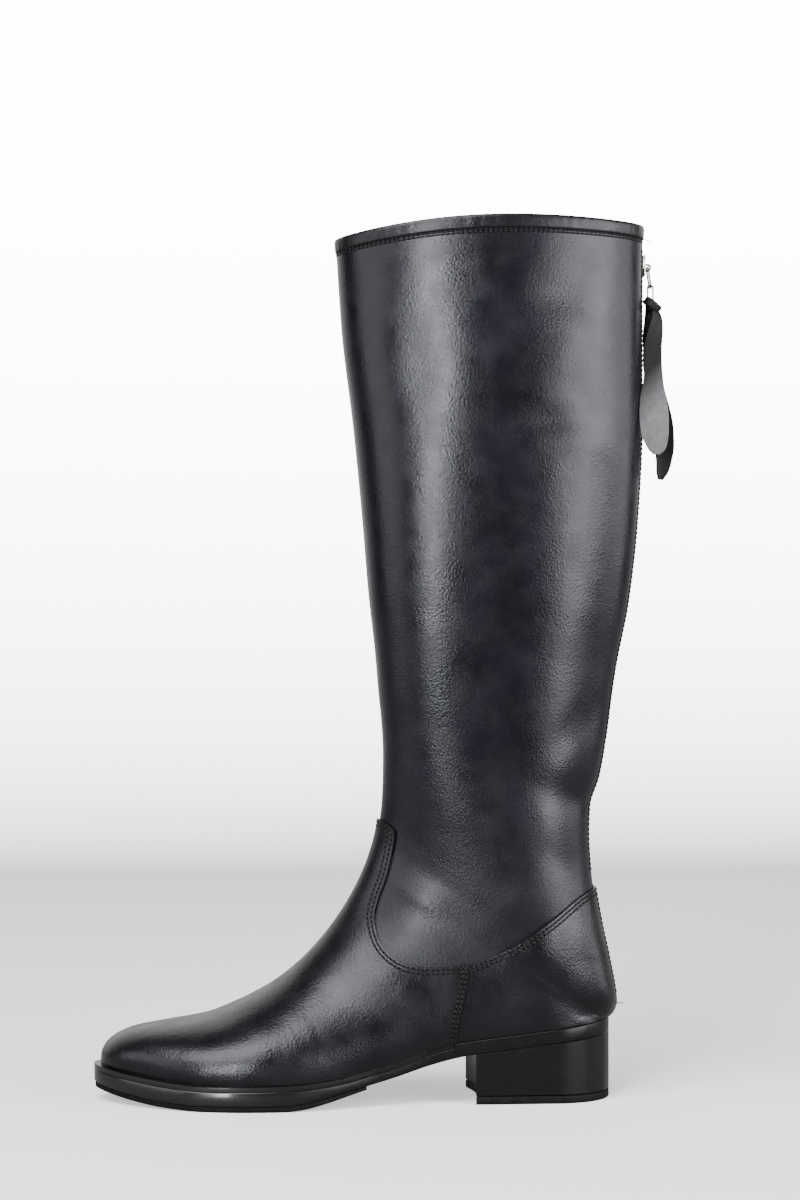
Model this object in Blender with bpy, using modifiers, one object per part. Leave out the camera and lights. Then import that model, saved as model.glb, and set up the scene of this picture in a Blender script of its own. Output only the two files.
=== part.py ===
"""A tall black leather boot with a block heel and a zip up the back.

The boot stands on its sole, +Z up, with the toe towards -X and its outer side towards -Y.
Tables and sizes are in millimetres. "Ahead" is measured from the back of the heel towards the toe,
"up" from the floor. A left boot: the toe turns towards +Y.
"""
import math

import bmesh
import bpy
from mathutils import Vector

MM = 0.001

# Driving sizes, in millimetres
SOLE_BACK = 4.2
SOLE_TIP = 270.0
BALL_HALF = 46.0
HEEL_HALF = 29.5
WAIST_HALF = 27.0
WALL = 2.0
OVERLAY = 1.2
BAND = 1.0
GAP = 0.3
SEAT_GAP = 0.5
WELT_THICK = 2.0
WELT_BACK = 87.0
INSOLE_THICK = 3.0
HALF_SOLE_BACK = 132.0
HEEL_BREAST = 76.0
BREAST_HOLLOW = 3.5
HEEL_TIP_THICK = 4.0
SLIT_HALF = 4.5
TOPLINE_LIFT_SKEW = 1.2
EDGE_ROUND = 0.6

# How finely curves are drawn
SECTION_POINTS = 24
OUTSOLE_STEPS = (12, 22)
INSOLE_STEPS = (10, 16)
HALF_SOLE_STEPS = 22
WELT_STEPS = 24
HEEL_STEPS = 16
BREAST_STEPS = 8
FEATHER_STEPS = 30
SHARP_ANGLE = math.radians(38)

# Shares of a length that the sole's layers stay short of their round ends, and clear of a step
TIP_SHARE = 0.0004
STEP_SHARE = 0.002

# How far each piece's outline stays inside the sole's: at the heel, at the toe, and as a share of its width
UPPER_INSET = (1.8, 4.7, 0.93)
INSOLE_INSET = (5.4, 10.5, 0.83)
WELT_INNER_INSET = (1.8, 8.6, 0.86)
HALF_SOLE_INSET = (0.0, 0.6, 0.985)
NO_INSET = (0.0, 0.0, 1.0)

# Zip sizes, in millimetres
ZIP_LOW = 55.0
ZIP_HIGH = 448.0
ZIP_STATIONS = 22
TAPE_HALF = 3.3
TAPE_DEPTHS = (1.1, 1.9)
TEETH_HALF = 2.4
TEETH_DEPTHS = (-0.4, 0.8)
SLIDER_TOP = 435.5
SLIDER_BOTTOM = 424.5
SLIDER_HALF = 3.7
SLIDER_PLATE = 1.2
SLIDER_FLANGE = 0.9
BRIDGE_HALF = 1.2
BRIDGE_EYE = 1.2
BRIDGE_WALL = 0.9
BRIDGE_DROP = 1.0
BRIDGE_STEPS = 10
WIRE = 0.48
RING_LENGTH = 10.5
RING_HALF = 3.0
RING_LEAN = 0.16
LINK_LENGTH = 10.5
LINK_HALF = 2.1
LINK_TURN = 0.7
TAB_THICK = 1.4
TAB_TWIST = 22.0
RING_BEND = 1.2
RING_BEND_STEPS = 3


class Table:
    """Rows of numbers under named columns, read between rows by a cubic that never overshoots."""

    def __init__(self, columns, rows):
        self.columns = columns.split()
        self.rows = rows

    def column(self, name):
        index = self.columns.index(name)
        return [row[index] for row in self.rows]

    def read(self, name, place, key=None):
        values = self.column(name)
        keys = self.column(key) if key else list(range(len(values)))
        place = min(max(place, keys[0]), keys[-1])
        low = max(i for i in range(len(keys) - 1) if keys[i] <= place or i == 0)
        step = keys[low + 1] - keys[low]
        t = (place - keys[low]) / step
        start, end = (self.slope(keys, values, i) * step for i in (low, low + 1))
        rise = values[low + 1] - values[low]
        return values[low] + t * (start + t * (3 * rise - 2 * start - end + t * (start + end - 2 * rise)))

    @staticmethod
    def slope(keys, values, i):
        slopes = [
            (values[k + 1] - values[k]) / (keys[k + 1] - keys[k])
            for k in (i - 1, i)
            if 0 <= k < len(keys) - 1
        ]
        if len(slopes) == 1:
            return slopes[0]
        before, after = slopes
        if before * after <= 0:
            return 0.0
        return 2 * before * after / (before + after)


# Plan of the sole. The square of the half width is what runs smoothly, so that both ends come out round.
PLAN = Table(
    "ahead half centre",
    [
        (SOLE_BACK, 0.0, 0.0),
        (10.0, 17.6, 0.0),
        (20.0, 26.2, 0.0),
        (34.0, HEEL_HALF, 0.0),
        (62.0, 29.0, -0.6),
        (95.0, WAIST_HALF, -2.4),
        (125.0, 31.0, -3.4),
        (155.0, 39.6, -3.2),
        (178.0, 44.8, -1.8),
        (198.0, BALL_HALF, 0.0),
        (216.0, 44.2, 2.0),
        (234.0, 38.0, 4.0),
        (250.0, 28.6, 5.6),
        (262.0, 17.8, 6.4),
        (SOLE_TIP, 0.0, 6.6),
    ],
)
PLAN_SQUARES = Table("ahead square", [(ahead, half * half) for ahead, half, centre in PLAN.rows])

# Side view of the sole: the feather line where the upper stands, and the outsole's underside
SIDE = Table(
    "ahead feather underside rubber",
    [
        (SOLE_BACK, 41.8, 34.4, 2.8),
        (30.0, 38.55, 31.15, 2.8),
        (56.0, 35.3, 27.9, 2.8),
        (79.0, 32.42, 25.02, 2.8),
        (88.0, 31.0, 23.2, 2.8),
        (101.0, 27.6, 19.8, 2.8),
        (116.0, 22.6, 15.2, 2.0),
        (132.0, 18.5, 11.0, 1.8),
        (142.0, 16.2, 8.6, 2.2),
        (153.0, 14.5, 6.1, 2.8),
        (164.0, 13.5, 3.9, 3.0),
        (174.0, 13.1, 3.0, 3.0),
        (195.0, 12.8, 3.0, 3.0),
        (214.0, 12.7, 3.0, 3.0),
        (234.0, 14.0, 4.0, 3.0),
        (252.0, 15.9, 6.3, 3.0),
        (SOLE_TIP, 18.6, 9.8, 3.0),
    ],
)

# The upper, a row for each section from the toe over the instep and up the shaft. A section runs from the
# back, on the feather line or the back line, to the front, on the ridge of the vamp or the shin.
HEEL_ROW = 16
SLIT_ROW = 17
SLIT_END = 0.2
BAND_ROW = 30
UPPER = Table(
    "front_ahead front_up back_ahead back_up half_width widest front_power back_power ridge lift",
    [
        (265.3, 18.4, 264.4, 18.2, 6.0, 0.20, 2.0, 2.0, 6.5, 0.0),
        (264.9, 23.2, 262.6, 18.0, 10.6, 0.25, 2.2, 2.0, 6.5, 0.0),
        (263.2, 27.0, 258.6, 17.5, 16.6, 0.28, 2.3, 2.0, 6.5, 0.0),
        (258.4, 31.2, 252.0, 16.4, 23.0, 0.30, 2.3, 2.0, 6.5, 0.0),
        (248.5, 35.2, 242.5, 15.0, 29.8, 0.30, 2.3, 2.0, 6.4, 0.0),
        (232.0, 38.1, 229.0, 13.6, 37.6, 0.28, 2.25, 2.0, 6.2, 0.0),
        (212.0, 41.6, 211.0, 12.7, 43.4, 0.26, 2.15, 2.0, 6.0, 0.0),
        (193.0, 49.6, 190.0, 12.8, 44.8, 0.25, 2.0, 2.0, 5.6, 0.0),
        (177.0, 58.3, 168.0, 13.3, 42.6, 0.24, 1.9, 2.0, 5.0, 0.0),
        (163.5, 69.3, 145.0, 15.6, 38.4, 0.24, 1.8, 2.0, 4.4, 0.0),
        (152.3, 81.0, 120.0, 21.6, 34.6, 0.25, 1.75, 2.0, 3.8, 0.0),
        (144.6, 91.1, 95.0, 29.3, 32.6, 0.27, 1.75, 2.0, 3.2, 0.0),
        (138.6, 100.4, 68.0, 33.8, 31.6, 0.30, 1.8, 2.1, 2.6, 0.0),
        (134.4, 108.2, 42.0, 37.0, 31.2, 0.33, 1.85, 2.25, 2.0, 0.0),
        (131.0, 115.3, 21.0, 39.7, 30.8, 0.36, 1.9, 2.35, 1.6, 0.0),
        (128.8, 120.8, 10.0, 41.1, 30.6, 0.38, 1.95, 2.5, 1.2, 0.0),
        (127.2, 125.6, 6.0, 41.6, 30.4, 0.39, 1.95, 2.6, 1.0, 0.0),
        (125.2, 132.2, 1.6, 49.0, 30.4, 0.40, 1.95, 2.65, 0.7, 0.0),
        (123.4, 141.0, 4.6, 67.0, 30.6, 0.41, 2.0, 2.6, 0.4, 0.0),
        (122.0, 153.0, 9.8, 91.0, 30.8, 0.42, 2.15, 2.45, 0.2, 0.0),
        (121.5, 165.0, 13.4, 114.0, 31.4, 0.43, 2.3, 2.3, 0.0, 0.0),
        (121.4, 178.0, 15.0, 136.0, 31.8, 0.44, 2.5, 2.2, 0.0, 0.0),
        (121.8, 188.0, 14.4, 150.0, 32.2, 0.45, 2.6, 2.1, 0.0, 0.0),
        (122.6, 198.0, 9.6, 165.0, 33.0, 0.45, 2.7, 2.1, 0.0, 0.0),
        (123.8, 210.0, 5.6, 187.0, 34.2, 0.45, 2.75, 2.1, 0.0, 0.0),
        (125.6, 231.0, 0.8, 221.0, 36.0, 0.46, 2.75, 2.1, 0.0, 0.0),
        (128.8, 259.0, -6.0, 256.0, 38.0, 0.46, 2.7, 2.1, 0.0, 0.0),
        (132.2, 299.0, -10.8, 299.0, 40.0, 0.46, 2.55, 2.1, 0.0, 0.0),
        (136.8, 345.0, -13.0, 345.0, 41.3, 0.46, 2.35, 2.1, 0.0, 0.0),
        (142.8, 394.0, -13.0, 395.0, 41.5, 0.46, 2.15, 2.1, 0.0, 1.5),
        (145.6, 435.2, -13.2, 443.0, 41.0, 0.46, 2.0, 2.1, 0.0, 5.2),
        (145.9, 441.7, -13.4, 449.5, 41.0, 0.46, 2.0, 2.1, 0.0, 5.5),
    ],
)
TOP_ROW = len(UPPER.rows) - 1
OVERLAY_TOP_ROW = 21
# How closely a height is found among the rows, and the rows apart that its slope is taken from
BACK_LINE_CLOSE = 1e-9
BACK_LINE_STEP = 0.02
# The most that a section's open edges stand apart, as a share of its width
EDGE_LIMIT = 0.99
# Sections drawn between one row of the table and the next: rows up to the first number have that many steps
ROW_STEPS = ((5, 1), (12, 2), (24, 1), (28, 2), (31, 1))

# Seams seen from the side, in order, as points ahead of the heel and up from the floor
VAMP_SEAM = (
    (79.0, 71.2),
    (95.3, 70.1),
    (107.0, 70.6),
    (116.5, 74.0),
    (124.0, 81.5),
    (127.0, 93.0),
    (125.3, 102.5),
    (120.6, 115.6),
    (116.9, 132.7),
    (117.6, 139.2),
    (124.5, 143.8),
)
SIDE_SEAM = ((85.6, 34.0), (84.1, 45.1), (81.5, 56.8), (79.0, 71.2))
COUNTER_SEAM = ((79.0, 71.2), (58.0, 80.0), (38.4, 92.5), (22.6, 104.0), (11.7, 108.5))
SEAM_STEPS = 3
SEAM_LIFT = 0.05
CUT_REACH = 60.0
CUT_MARGIN = 30.0
TONGUE_MARGIN = 15.0
COUNTER_MARGIN = 8.0

# The pull tab is one strap folded over the link. For its near and far petals: the distance down from the
# fold, how far the strap stands from the boot's middle, its half width, and how far it is out from the fold.
TAB_COLUMNS = "down apart half out"
TAB_FOLD = (0.0, 1.8, 1.15, 0.0)
NEAR_PETAL = Table(
    TAB_COLUMNS,
    [
        TAB_FOLD,
        (6.5, 2.6, 3.2, 1.6),
        (17.8, 3.4, 4.4, 0.9),
        (29.3, 5.4, 4.5, 0.5),
        (39.6, 8.6, 5.1, 0.1),
        (49.0, 12.4, 6.7, -0.5),
        (58.3, 14.6, 7.5, -0.4),
        (67.2, 15.2, 7.0, -0.1),
        (75.2, 15.0, 4.4, 0.8),
        (77.9, 14.9, 1.2, 0.9),
    ],
)
FAR_PETAL = Table(
    TAB_COLUMNS,
    [
        TAB_FOLD,
        (6.5, 2.4, 3.2, 1.4),
        (17.8, 2.2, 4.2, 0.9),
        (30.0, 2.0, 4.2, 0.8),
        (43.3, 1.8, 4.4, 3.4),
        (52.0, 1.7, 4.7, 5.6),
        (63.4, 1.6, 5.1, 7.4),
        (72.9, 1.5, 5.0, 7.8),
        (81.4, 1.4, 3.9, 7.4),
        (86.2, 1.3, 3.1, 6.6),
        (90.4, 1.2, 0.9, 5.6),
    ],
)
PETAL_STEPS = 13
FOLD_STEPS = 4


def make_finish(name, colour, roughness, metallic=0.0):
    """A plain material with the piece's colour."""
    material = bpy.data.materials.new(name)
    material.use_nodes = True
    shader = material.node_tree.nodes["Principled BSDF"]
    shader.inputs["Base Color"].default_value = (*colour, 1.0)
    shader.inputs["Roughness"].default_value = roughness
    shader.inputs["Metallic"].default_value = metallic
    return material


def feather(ahead):
    """Height of the feather line."""
    return SIDE.read("feather", ahead, "ahead")


def underside(ahead):
    """Height of the outsole's underside."""
    return SIDE.read("underside", ahead, "ahead")


def outsole_top(ahead):
    """Height of the outsole's upper face, which steps down for the welt."""
    top = feather(ahead) - SEAT_GAP
    if ahead > WELT_BACK:
        top -= WELT_THICK + GAP
    return top


def plan(share, inset):
    """Ahead, half width and centre of an inset outline, at a share of its length from back to tip."""
    heel_inset, toe_inset, width = inset
    length = SOLE_TIP - SOLE_BACK
    ahead = SOLE_BACK + heel_inset + share * (length - heel_inset - toe_inset)
    place = SOLE_BACK + share * length
    half = math.sqrt(max(PLAN_SQUARES.read("square", place, "ahead"), 0.0)) * width
    return ahead, half, PLAN.read("centre", place, "ahead")


def plan_share(ahead, inset):
    """The share of an inset outline's length that lies behind a place."""
    heel_inset, toe_inset, _ = inset
    length = SOLE_TIP - SOLE_BACK - heel_inset - toe_inset
    return min(max((ahead - SOLE_BACK - heel_inset) / length, 0.0), 1.0)


def eased(start, end, count):
    """Shares from start to end, closer together towards 0 and 1, where outlines turn."""
    first, last = (math.acos(1 - 2 * share) for share in (start, end))
    angles = [first + (last - first) * i / count for i in range(count + 1)]
    return [(1 - math.cos(angle)) / 2 for angle in angles]


def point(ahead, side, up):
    """A place on the boot, from millimetres ahead of the heel, across and up."""
    return Vector((-ahead * MM, side * MM, up * MM))


def add_piece(name, bm, material, origin=None, parts=None):
    """An object from a bmesh, with its origin where asked."""
    origin = origin or Vector()
    bmesh.ops.translate(bm, verts=bm.verts, vec=-origin)
    mesh = bpy.data.meshes.new(name)
    bm.to_mesh(mesh)
    bm.free()
    if material:
        mesh.materials.append(material)
    piece = bpy.data.objects.new(name, mesh)
    piece.location = origin
    (parts or boot_parts).objects.link(piece)
    piece.parent = boot
    mesh.shade_smooth()
    mesh.set_sharp_from_angle(angle=SHARP_ANGLE)
    return piece


def loft(rings):
    """A bmesh through rings of points, each ring closed, with a face over both ends."""
    bm = bmesh.new()
    made = [[bm.verts.new(p) for p in ring] for ring in rings]
    count = len(rings[0])
    for lower, upper in zip(made, made[1:]):
        for i in range(count):
            k = (i + 1) % count
            bm.faces.new((lower[i], lower[k], upper[k], upper[i]))
    bm.faces.new(list(reversed(made[0])))
    bm.faces.new(made[-1])
    bmesh.ops.recalc_face_normals(bm, faces=bm.faces)
    return bm


def smooth_line(points, steps):
    """Points along a smooth curve through the given ones."""
    line = []
    count = len(points)
    for i in range(count - 1):
        before, start, end, after = (points[min(max(i + k, 0), count - 1)] for k in (-1, 0, 1, 2))
        for step in range(steps):
            t = step / steps
            line.append(tuple(
                0.5 * (2 * b + (c - a) * t + (2 * a - 5 * b + 4 * c - d) * t * t
                       + (3 * b - a - 3 * c + d) * t ** 3)
                for a, b, c, d in zip(before, start, end, after)
            ))
    return line + [points[-1]]


def edge_half(place, back_ahead):
    """Half the distance between the near and far edges of the upper's wall, at a row."""
    if place <= HEEL_ROW:
        return plan(plan_share(back_ahead, UPPER_INSET), UPPER_INSET)[1]
    opened = min(max((place - SLIT_ROW) / SLIT_END, 0.0), 1.0)
    return SLIT_HALF * opened


def section(place):
    """Points round the upper at a row, from the near edge over the front to the far edge."""
    row = {name: UPPER.read(name, place) for name in UPPER.columns}
    back_ahead = row["back_ahead"]
    back_up = feather(back_ahead) if place <= HEEL_ROW else row["back_up"]
    centre = plan(plan_share(back_ahead, UPPER_INSET), UPPER_INSET)[2] if place <= HEEL_ROW else 0.0
    half_width = row["half_width"]
    edge = min(edge_half(place, back_ahead), half_width * EDGE_LIMIT)
    widest = row["widest"]
    start = math.acos((edge / half_width) ** (row["back_power"] / 2))
    behind = widest / math.sin(start) ** (2 / row["back_power"])
    points = []
    for i in range(SECTION_POINTS + 1):
        turn = abs(2 * i / SECTION_POINTS - 1)
        angle = math.pi / 2 - turn * (math.pi / 2 + start)
        power = row["front_power"] if angle > 0 else row["back_power"]
        reach = abs(math.sin(angle)) ** (2 / power)
        along = widest + (1 - widest) * reach if angle > 0 else widest - behind * reach
        across = half_width * max(math.cos(angle), 0.0) ** (2 / power)
        if turn == 0:
            across = 0.0
        if turn == 1:
            along = 0.0
            across = edge
        side = -1 if i < SECTION_POINTS / 2 else 1
        middle = centre + (row["ridge"] - centre) * along
        lift = row["lift"] * math.sin(math.pi * min(max(along, 0.0), 1.0) ** TOPLINE_LIFT_SKEW)
        points.append(point(
            back_ahead + (row["front_ahead"] - back_ahead) * along,
            middle + side * across,
            back_up + (row["front_up"] - back_up) * along + lift,
        ))
    return points


def rows_between(first, last):
    """The rows at which sections are drawn, from first to last."""
    rows = []
    start = 0
    for end, steps in ROW_STEPS:
        rows += [start + i / steps for i in range((end - start) * steps)]
        start = end
    rows += [float(start), SLIT_ROW + SLIT_END]
    return sorted(row for row in rows if first <= row <= last)


def wall(first, last, away=0.0):
    """The upper's surface between two rows, at a distance outside it. The edges join above the heel."""
    bm = bmesh.new()
    made = [[bm.verts.new(p) for p in section(row)] for row in rows_between(first, last)]
    for lower, upper in zip(made, made[1:]):
        for i in range(SECTION_POINTS):
            a, b, c, d = lower[i], upper[i], upper[i + 1], lower[i + 1]
            split = ((a, b, c), (a, c, d)) if i < SECTION_POINTS / 2 else ((a, b, d), (b, c, d))
            for corners in split:
                bm.faces.new(corners)
    bmesh.ops.remove_doubles(bm, verts=bm.verts, dist=0.01 * MM)
    bm.normal_update()
    front = max(bm.faces, key=lambda face: -face.calc_center_median().x)
    if front.normal.x > 0:
        bmesh.ops.reverse_faces(bm, faces=bm.faces)
        bm.normal_update()
    for vert, normal in [(vert, vert.normal.copy()) for vert in bm.verts]:
        vert.co += normal * away * MM
    return bm


def thicken(piece, thickness, side):
    """Gives an open surface its thickness: outwards with side 1, inwards with -1, half each way with 0."""
    solid = piece.modifiers.new("Thickness", "SOLIDIFY")
    solid.thickness = thickness * MM
    solid.offset = side
    solid.use_even_offset = True


def side_cutter(name, outline):
    """A prism across the boot with an outline seen from the side."""
    rings = [[point(ahead, side, up) for ahead, up in outline] for side in (-CUT_REACH, CUT_REACH)]
    cutter = add_piece(name, loft(rings), None, parts=cutters)
    cutter.hide_render = True
    cutter.display_type = "WIRE"
    return cutter


def make_overlay(name, outline, material):
    """A leather layer over the upper, cut from a shell round it by an outline seen from the side."""
    layer = add_piece(name, wall(0, OVERLAY_TOP_ROW, away=GAP), material)
    thicken(layer, OVERLAY, 1)
    cut = layer.modifiers.new("Seam", "BOOLEAN")
    cut.operation = "INTERSECT"
    cut.object = side_cutter(name + "_outline", outline)
    return layer


def feather_line(start, end):
    """Points just above the feather line, from start to end."""
    places = [start + (end - start) * i / FEATHER_STEPS for i in range(FEATHER_STEPS + 1)]
    return [(ahead, feather(ahead) + SEAM_LIFT) for ahead in places]


def make_upper():
    """The hollow wall of shaft and foot, and the folded band round its collar."""
    leather = make_finish("shaft_leather", (0.016, 0.016, 0.019), 0.42)
    thicken(add_piece("upper", wall(0, TOP_ROW), leather), WALL, -1)
    fold = make_finish("band_leather", (0.014, 0.014, 0.016), 0.45)
    thicken(add_piece("top_band", wall(BAND_ROW, TOP_ROW, away=GAP), fold), BAND, 1)


def make_vamp():
    """The overlay over toe and instep."""
    seam = smooth_line(VAMP_SEAM, SEAM_STEPS)
    rise = (VAMP_SEAM[-1][0] + CUT_MARGIN, VAMP_SEAM[-1][1] + TONGUE_MARGIN)
    ahead = SOLE_TIP + CUT_MARGIN
    outline = seam + [rise, (ahead, rise[1])]
    outline += feather_line(ahead, SIDE_SEAM[0][0])
    outline += smooth_line(SIDE_SEAM, SEAM_STEPS)[1:-1]
    make_overlay("vamp", outline, make_finish("vamp_leather", (0.014, 0.015, 0.015), 0.34))


def make_counter():
    """The overlay round the heel."""
    seam = smooth_line(COUNTER_SEAM, SEAM_STEPS)
    outline = seam + [(-CUT_MARGIN, COUNTER_SEAM[-1][1] + COUNTER_MARGIN)]
    outline += feather_line(-CUT_MARGIN, SIDE_SEAM[0][0] - GAP)
    outline += [(ahead - GAP, up) for ahead, up in smooth_line(SIDE_SEAM, SEAM_STEPS)[1:-1]]
    outline[0] = (outline[0][0] - GAP, outline[0][1])
    make_overlay("counter", outline, make_finish("counter_leather", (0.015, 0.015, 0.017), 0.38))


def plate_ring(ahead, half, centre, low, high):
    """A cross-section of a sole layer with its corners taken off."""
    cut = min(EDGE_ROUND, half / 2, (high - low) / 3)
    corners = [
        (-half + cut, low), (half - cut, low), (half, low + cut), (half, high - cut),
        (half - cut, high), (-half + cut, high), (-half, high - cut), (-half, low + cut),
    ]
    return [point(ahead, centre + side, up) for side, up in corners]


def make_layer(name, shares, inset, low, high, material):
    """A layer of the sole between two heights that depend on the place."""
    rings = []
    for share in shares:
        ahead, half, centre = plan(share, inset)
        rings.append(plate_ring(ahead, half, centre, low(ahead), high(ahead)))
    return add_piece(name, loft(rings), material)


def half_sole_low(ahead):
    """Height of the half sole's underside."""
    return underside(ahead) - SIDE.read("rubber", ahead, "ahead")


def half_sole_high(ahead):
    """Height of the half sole's upper face."""
    return underside(ahead) - GAP


def insole_low(ahead):
    """Height of the insole's underside, which fills the step behind the welt."""
    return outsole_top(ahead) + GAP


def insole_high(ahead):
    """Height of the insole's upper face."""
    return feather(ahead) - SEAT_GAP + INSOLE_THICK


def make_sole():
    """Outsole, half sole, insole, welt and heel."""
    edge = make_finish("sole_edge", (0.012, 0.012, 0.013), 0.3)
    rubber = make_finish("rubber", (0.02, 0.02, 0.021), 0.6)
    leather = make_finish("insole_leather", (0.23, 0.16, 0.1), 0.7)
    behind, ahead = OUTSOLE_STEPS
    step = plan_share(WELT_BACK, NO_INSET)
    shares = eased(TIP_SHARE, step - TIP_SHARE, behind) + eased(step + TIP_SHARE, 1 - TIP_SHARE, ahead)
    make_layer("outsole", shares, NO_INSET, underside, outsole_top, edge)
    start = plan_share(HALF_SOLE_BACK, HALF_SOLE_INSET)
    shares = eased(start, 1 - TIP_SHARE, HALF_SOLE_STEPS)
    make_layer("half_sole", shares, HALF_SOLE_INSET, half_sole_low, half_sole_high, rubber)
    behind, ahead = INSOLE_STEPS
    step = plan_share(WELT_BACK, INSOLE_INSET)
    shares = eased(TIP_SHARE, step - TIP_SHARE, behind) + eased(step + STEP_SHARE, 1 - TIP_SHARE, ahead)
    make_layer("insole", shares, INSOLE_INSET, insole_low, insole_high, leather)
    make_welt(edge)
    make_heel(rubber)


def make_welt(material):
    """A strip round the forepart, open at the heel."""
    back = WELT_BACK + GAP
    shares = eased(plan_share(back, NO_INSET), 1.0, WELT_STEPS)
    rings = []
    for side in (-1, 1):
        for share in shares if side < 0 else reversed(shares[:-1]):
            outer, inner = (plan(share, inset) for inset in (NO_INSET, WELT_INNER_INSET))
            inner = (max(inner[0], back), *inner[1:])
            corners = ((outer, 0.0), (outer, WELT_THICK), (inner, WELT_THICK), (inner, 0.0))
            rings.append([
                point(ahead, centre + side * half, feather(ahead) - SEAT_GAP - drop)
                for (ahead, half, centre), drop in corners
            ])
    add_piece("welt", loft(rings), material)


def make_heel(rubber):
    """The heel block on its rubber tip, both with a hollow breast."""
    shares = eased(0.0, plan_share(HEEL_BREAST, NO_INSET), HEEL_STEPS)
    rim = []
    for side in (-1, 1):
        for share in reversed(shares) if side < 0 else shares[1:]:
            ahead, half, centre = plan(share, NO_INSET)
            rim.append((ahead, centre + side * half))
    (_, near), (_, far) = rim[0], rim[-1]
    for i in range(1, BREAST_STEPS):
        across = far + (near - far) * i / BREAST_STEPS
        bow = 1 - (2 * i / BREAST_STEPS - 1) ** 2
        rim.append((HEEL_BREAST - BREAST_HOLLOW * bow, across))
    tip = [[point(ahead, side, up) for ahead, side in rim] for up in (0.0, HEEL_TIP_THICK)]
    add_piece("heel_tip", loft(tip), rubber)
    block = [
        [point(ahead, side, HEEL_TIP_THICK + GAP) for ahead, side in rim],
        [point(ahead, side, underside(ahead) - GAP) for ahead, side in rim],
    ]
    add_piece("heel_block", loft(block), make_finish("heel_leather", (0.012, 0.012, 0.013), 0.36))


def back_line(up):
    """Where the back of the upper is at a height, and the way out from it, both seen from the side."""
    low, high = SLIT_ROW, TOP_ROW
    while high - low > BACK_LINE_CLOSE:
        middle = (low + high) / 2
        if UPPER.read("back_up", middle) < up:
            low = middle
        else:
            high = middle
    ahead = UPPER.read("back_ahead", low)
    below, above = low - BACK_LINE_STEP, low + BACK_LINE_STEP
    run = UPPER.read("back_ahead", above) - UPPER.read("back_ahead", below)
    rise = UPPER.read("back_up", above) - UPPER.read("back_up", below)
    return (ahead, up), Vector((-rise, run)).normalized()


def back_point(up, side, depth):
    """A place on the zip: a height on the back line, a distance across, a depth inside it."""
    (ahead, height), out = back_line(up)
    return point(ahead - out.x * depth, side, height - out.y * depth)


def make_zip():
    """The tape in the slit and the closed chain on it."""
    heights = [ZIP_LOW + (ZIP_HIGH - ZIP_LOW) * i / ZIP_STATIONS for i in range(ZIP_STATIONS + 1)]
    cloth = make_finish("zip_tape_cloth", (0.012, 0.012, 0.013), 0.85)
    metal = make_finish("zip_metal", (0.42, 0.41, 0.38), 0.35, 1.0)
    strips = (
        ("zip_tape", TAPE_HALF, TAPE_DEPTHS, cloth),
        ("zip_teeth", TEETH_HALF, TEETH_DEPTHS, metal),
    )
    for name, half, (outer, inner), material in strips:
        corners = ((-half, outer), (half, outer), (half, inner), (-half, inner))
        rings = [[back_point(up, side, depth) for side, depth in corners] for up in heights]
        add_piece(name, loft(rings), material)


def make_slider(nickel):
    """The slider's plate with two flanges beside the teeth, and the bridge that holds the pull."""
    outer = TEETH_DEPTHS[0] - GAP
    top = outer - SLIDER_PLATE
    inner = TEETH_HALF + GAP
    depths = (
        (-SLIDER_HALF, top), (SLIDER_HALF, top), (SLIDER_HALF, outer + SLIDER_FLANGE),
        (inner, outer + SLIDER_FLANGE), (inner, outer), (-inner, outer),
        (-inner, outer + SLIDER_FLANGE), (-SLIDER_HALF, outer + SLIDER_FLANGE),
    )
    ends = (SLIDER_BOTTOM, SLIDER_TOP)
    body = loft([[back_point(up, side, depth) for side, depth in depths] for up in ends])
    axis = hinge_point()
    angles = [math.pi * (i / BRIDGE_STEPS - 0.5) for i in range(BRIDGE_STEPS + 1)]
    foot = BRIDGE_EYE + WIRE / 2
    profile = []
    for radius, turns in ((BRIDGE_EYE + BRIDGE_WALL, angles), (BRIDGE_EYE, angles[::-1])):
        arch = [(radius * math.cos(angle), radius * math.sin(angle)) for angle in turns]
        profile += [(-foot, arch[0][1])] + arch + [(-foot, arch[-1][1])]
    bridge_rings = [
        [axis + Vector((out, 0.0, up)) * MM + Vector((0.0, side * MM, 0.0)) for out, up in profile]
        for side in (-BRIDGE_HALF, BRIDGE_HALF)
    ]
    slider = add_piece("zip_slider", body, nickel)
    bridge = add_piece("zip_bridge", loft(bridge_rings), None, parts=cutters)
    bridge.hide_render = True
    bridge.display_type = "WIRE"
    join = slider.modifiers.new("Bridge", "BOOLEAN")
    join.operation = "UNION"
    join.object = bridge


def hinge_point():
    """The middle of the slider's bridge, on the pull's hinge axis."""
    outer = TEETH_DEPTHS[0] - GAP - SLIDER_PLATE
    return back_point((SLIDER_TOP + SLIDER_BOTTOM) / 2 - BRIDGE_DROP, 0.0, outer - BRIDGE_EYE)


def link_point():
    """The middle of the link's hinge axis, where the ring's lower end holds it."""
    way = Vector((math.sin(RING_LEAN), 0.0, -math.cos(RING_LEAN)))
    return hinge_point() + way * RING_LENGTH * MM


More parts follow.
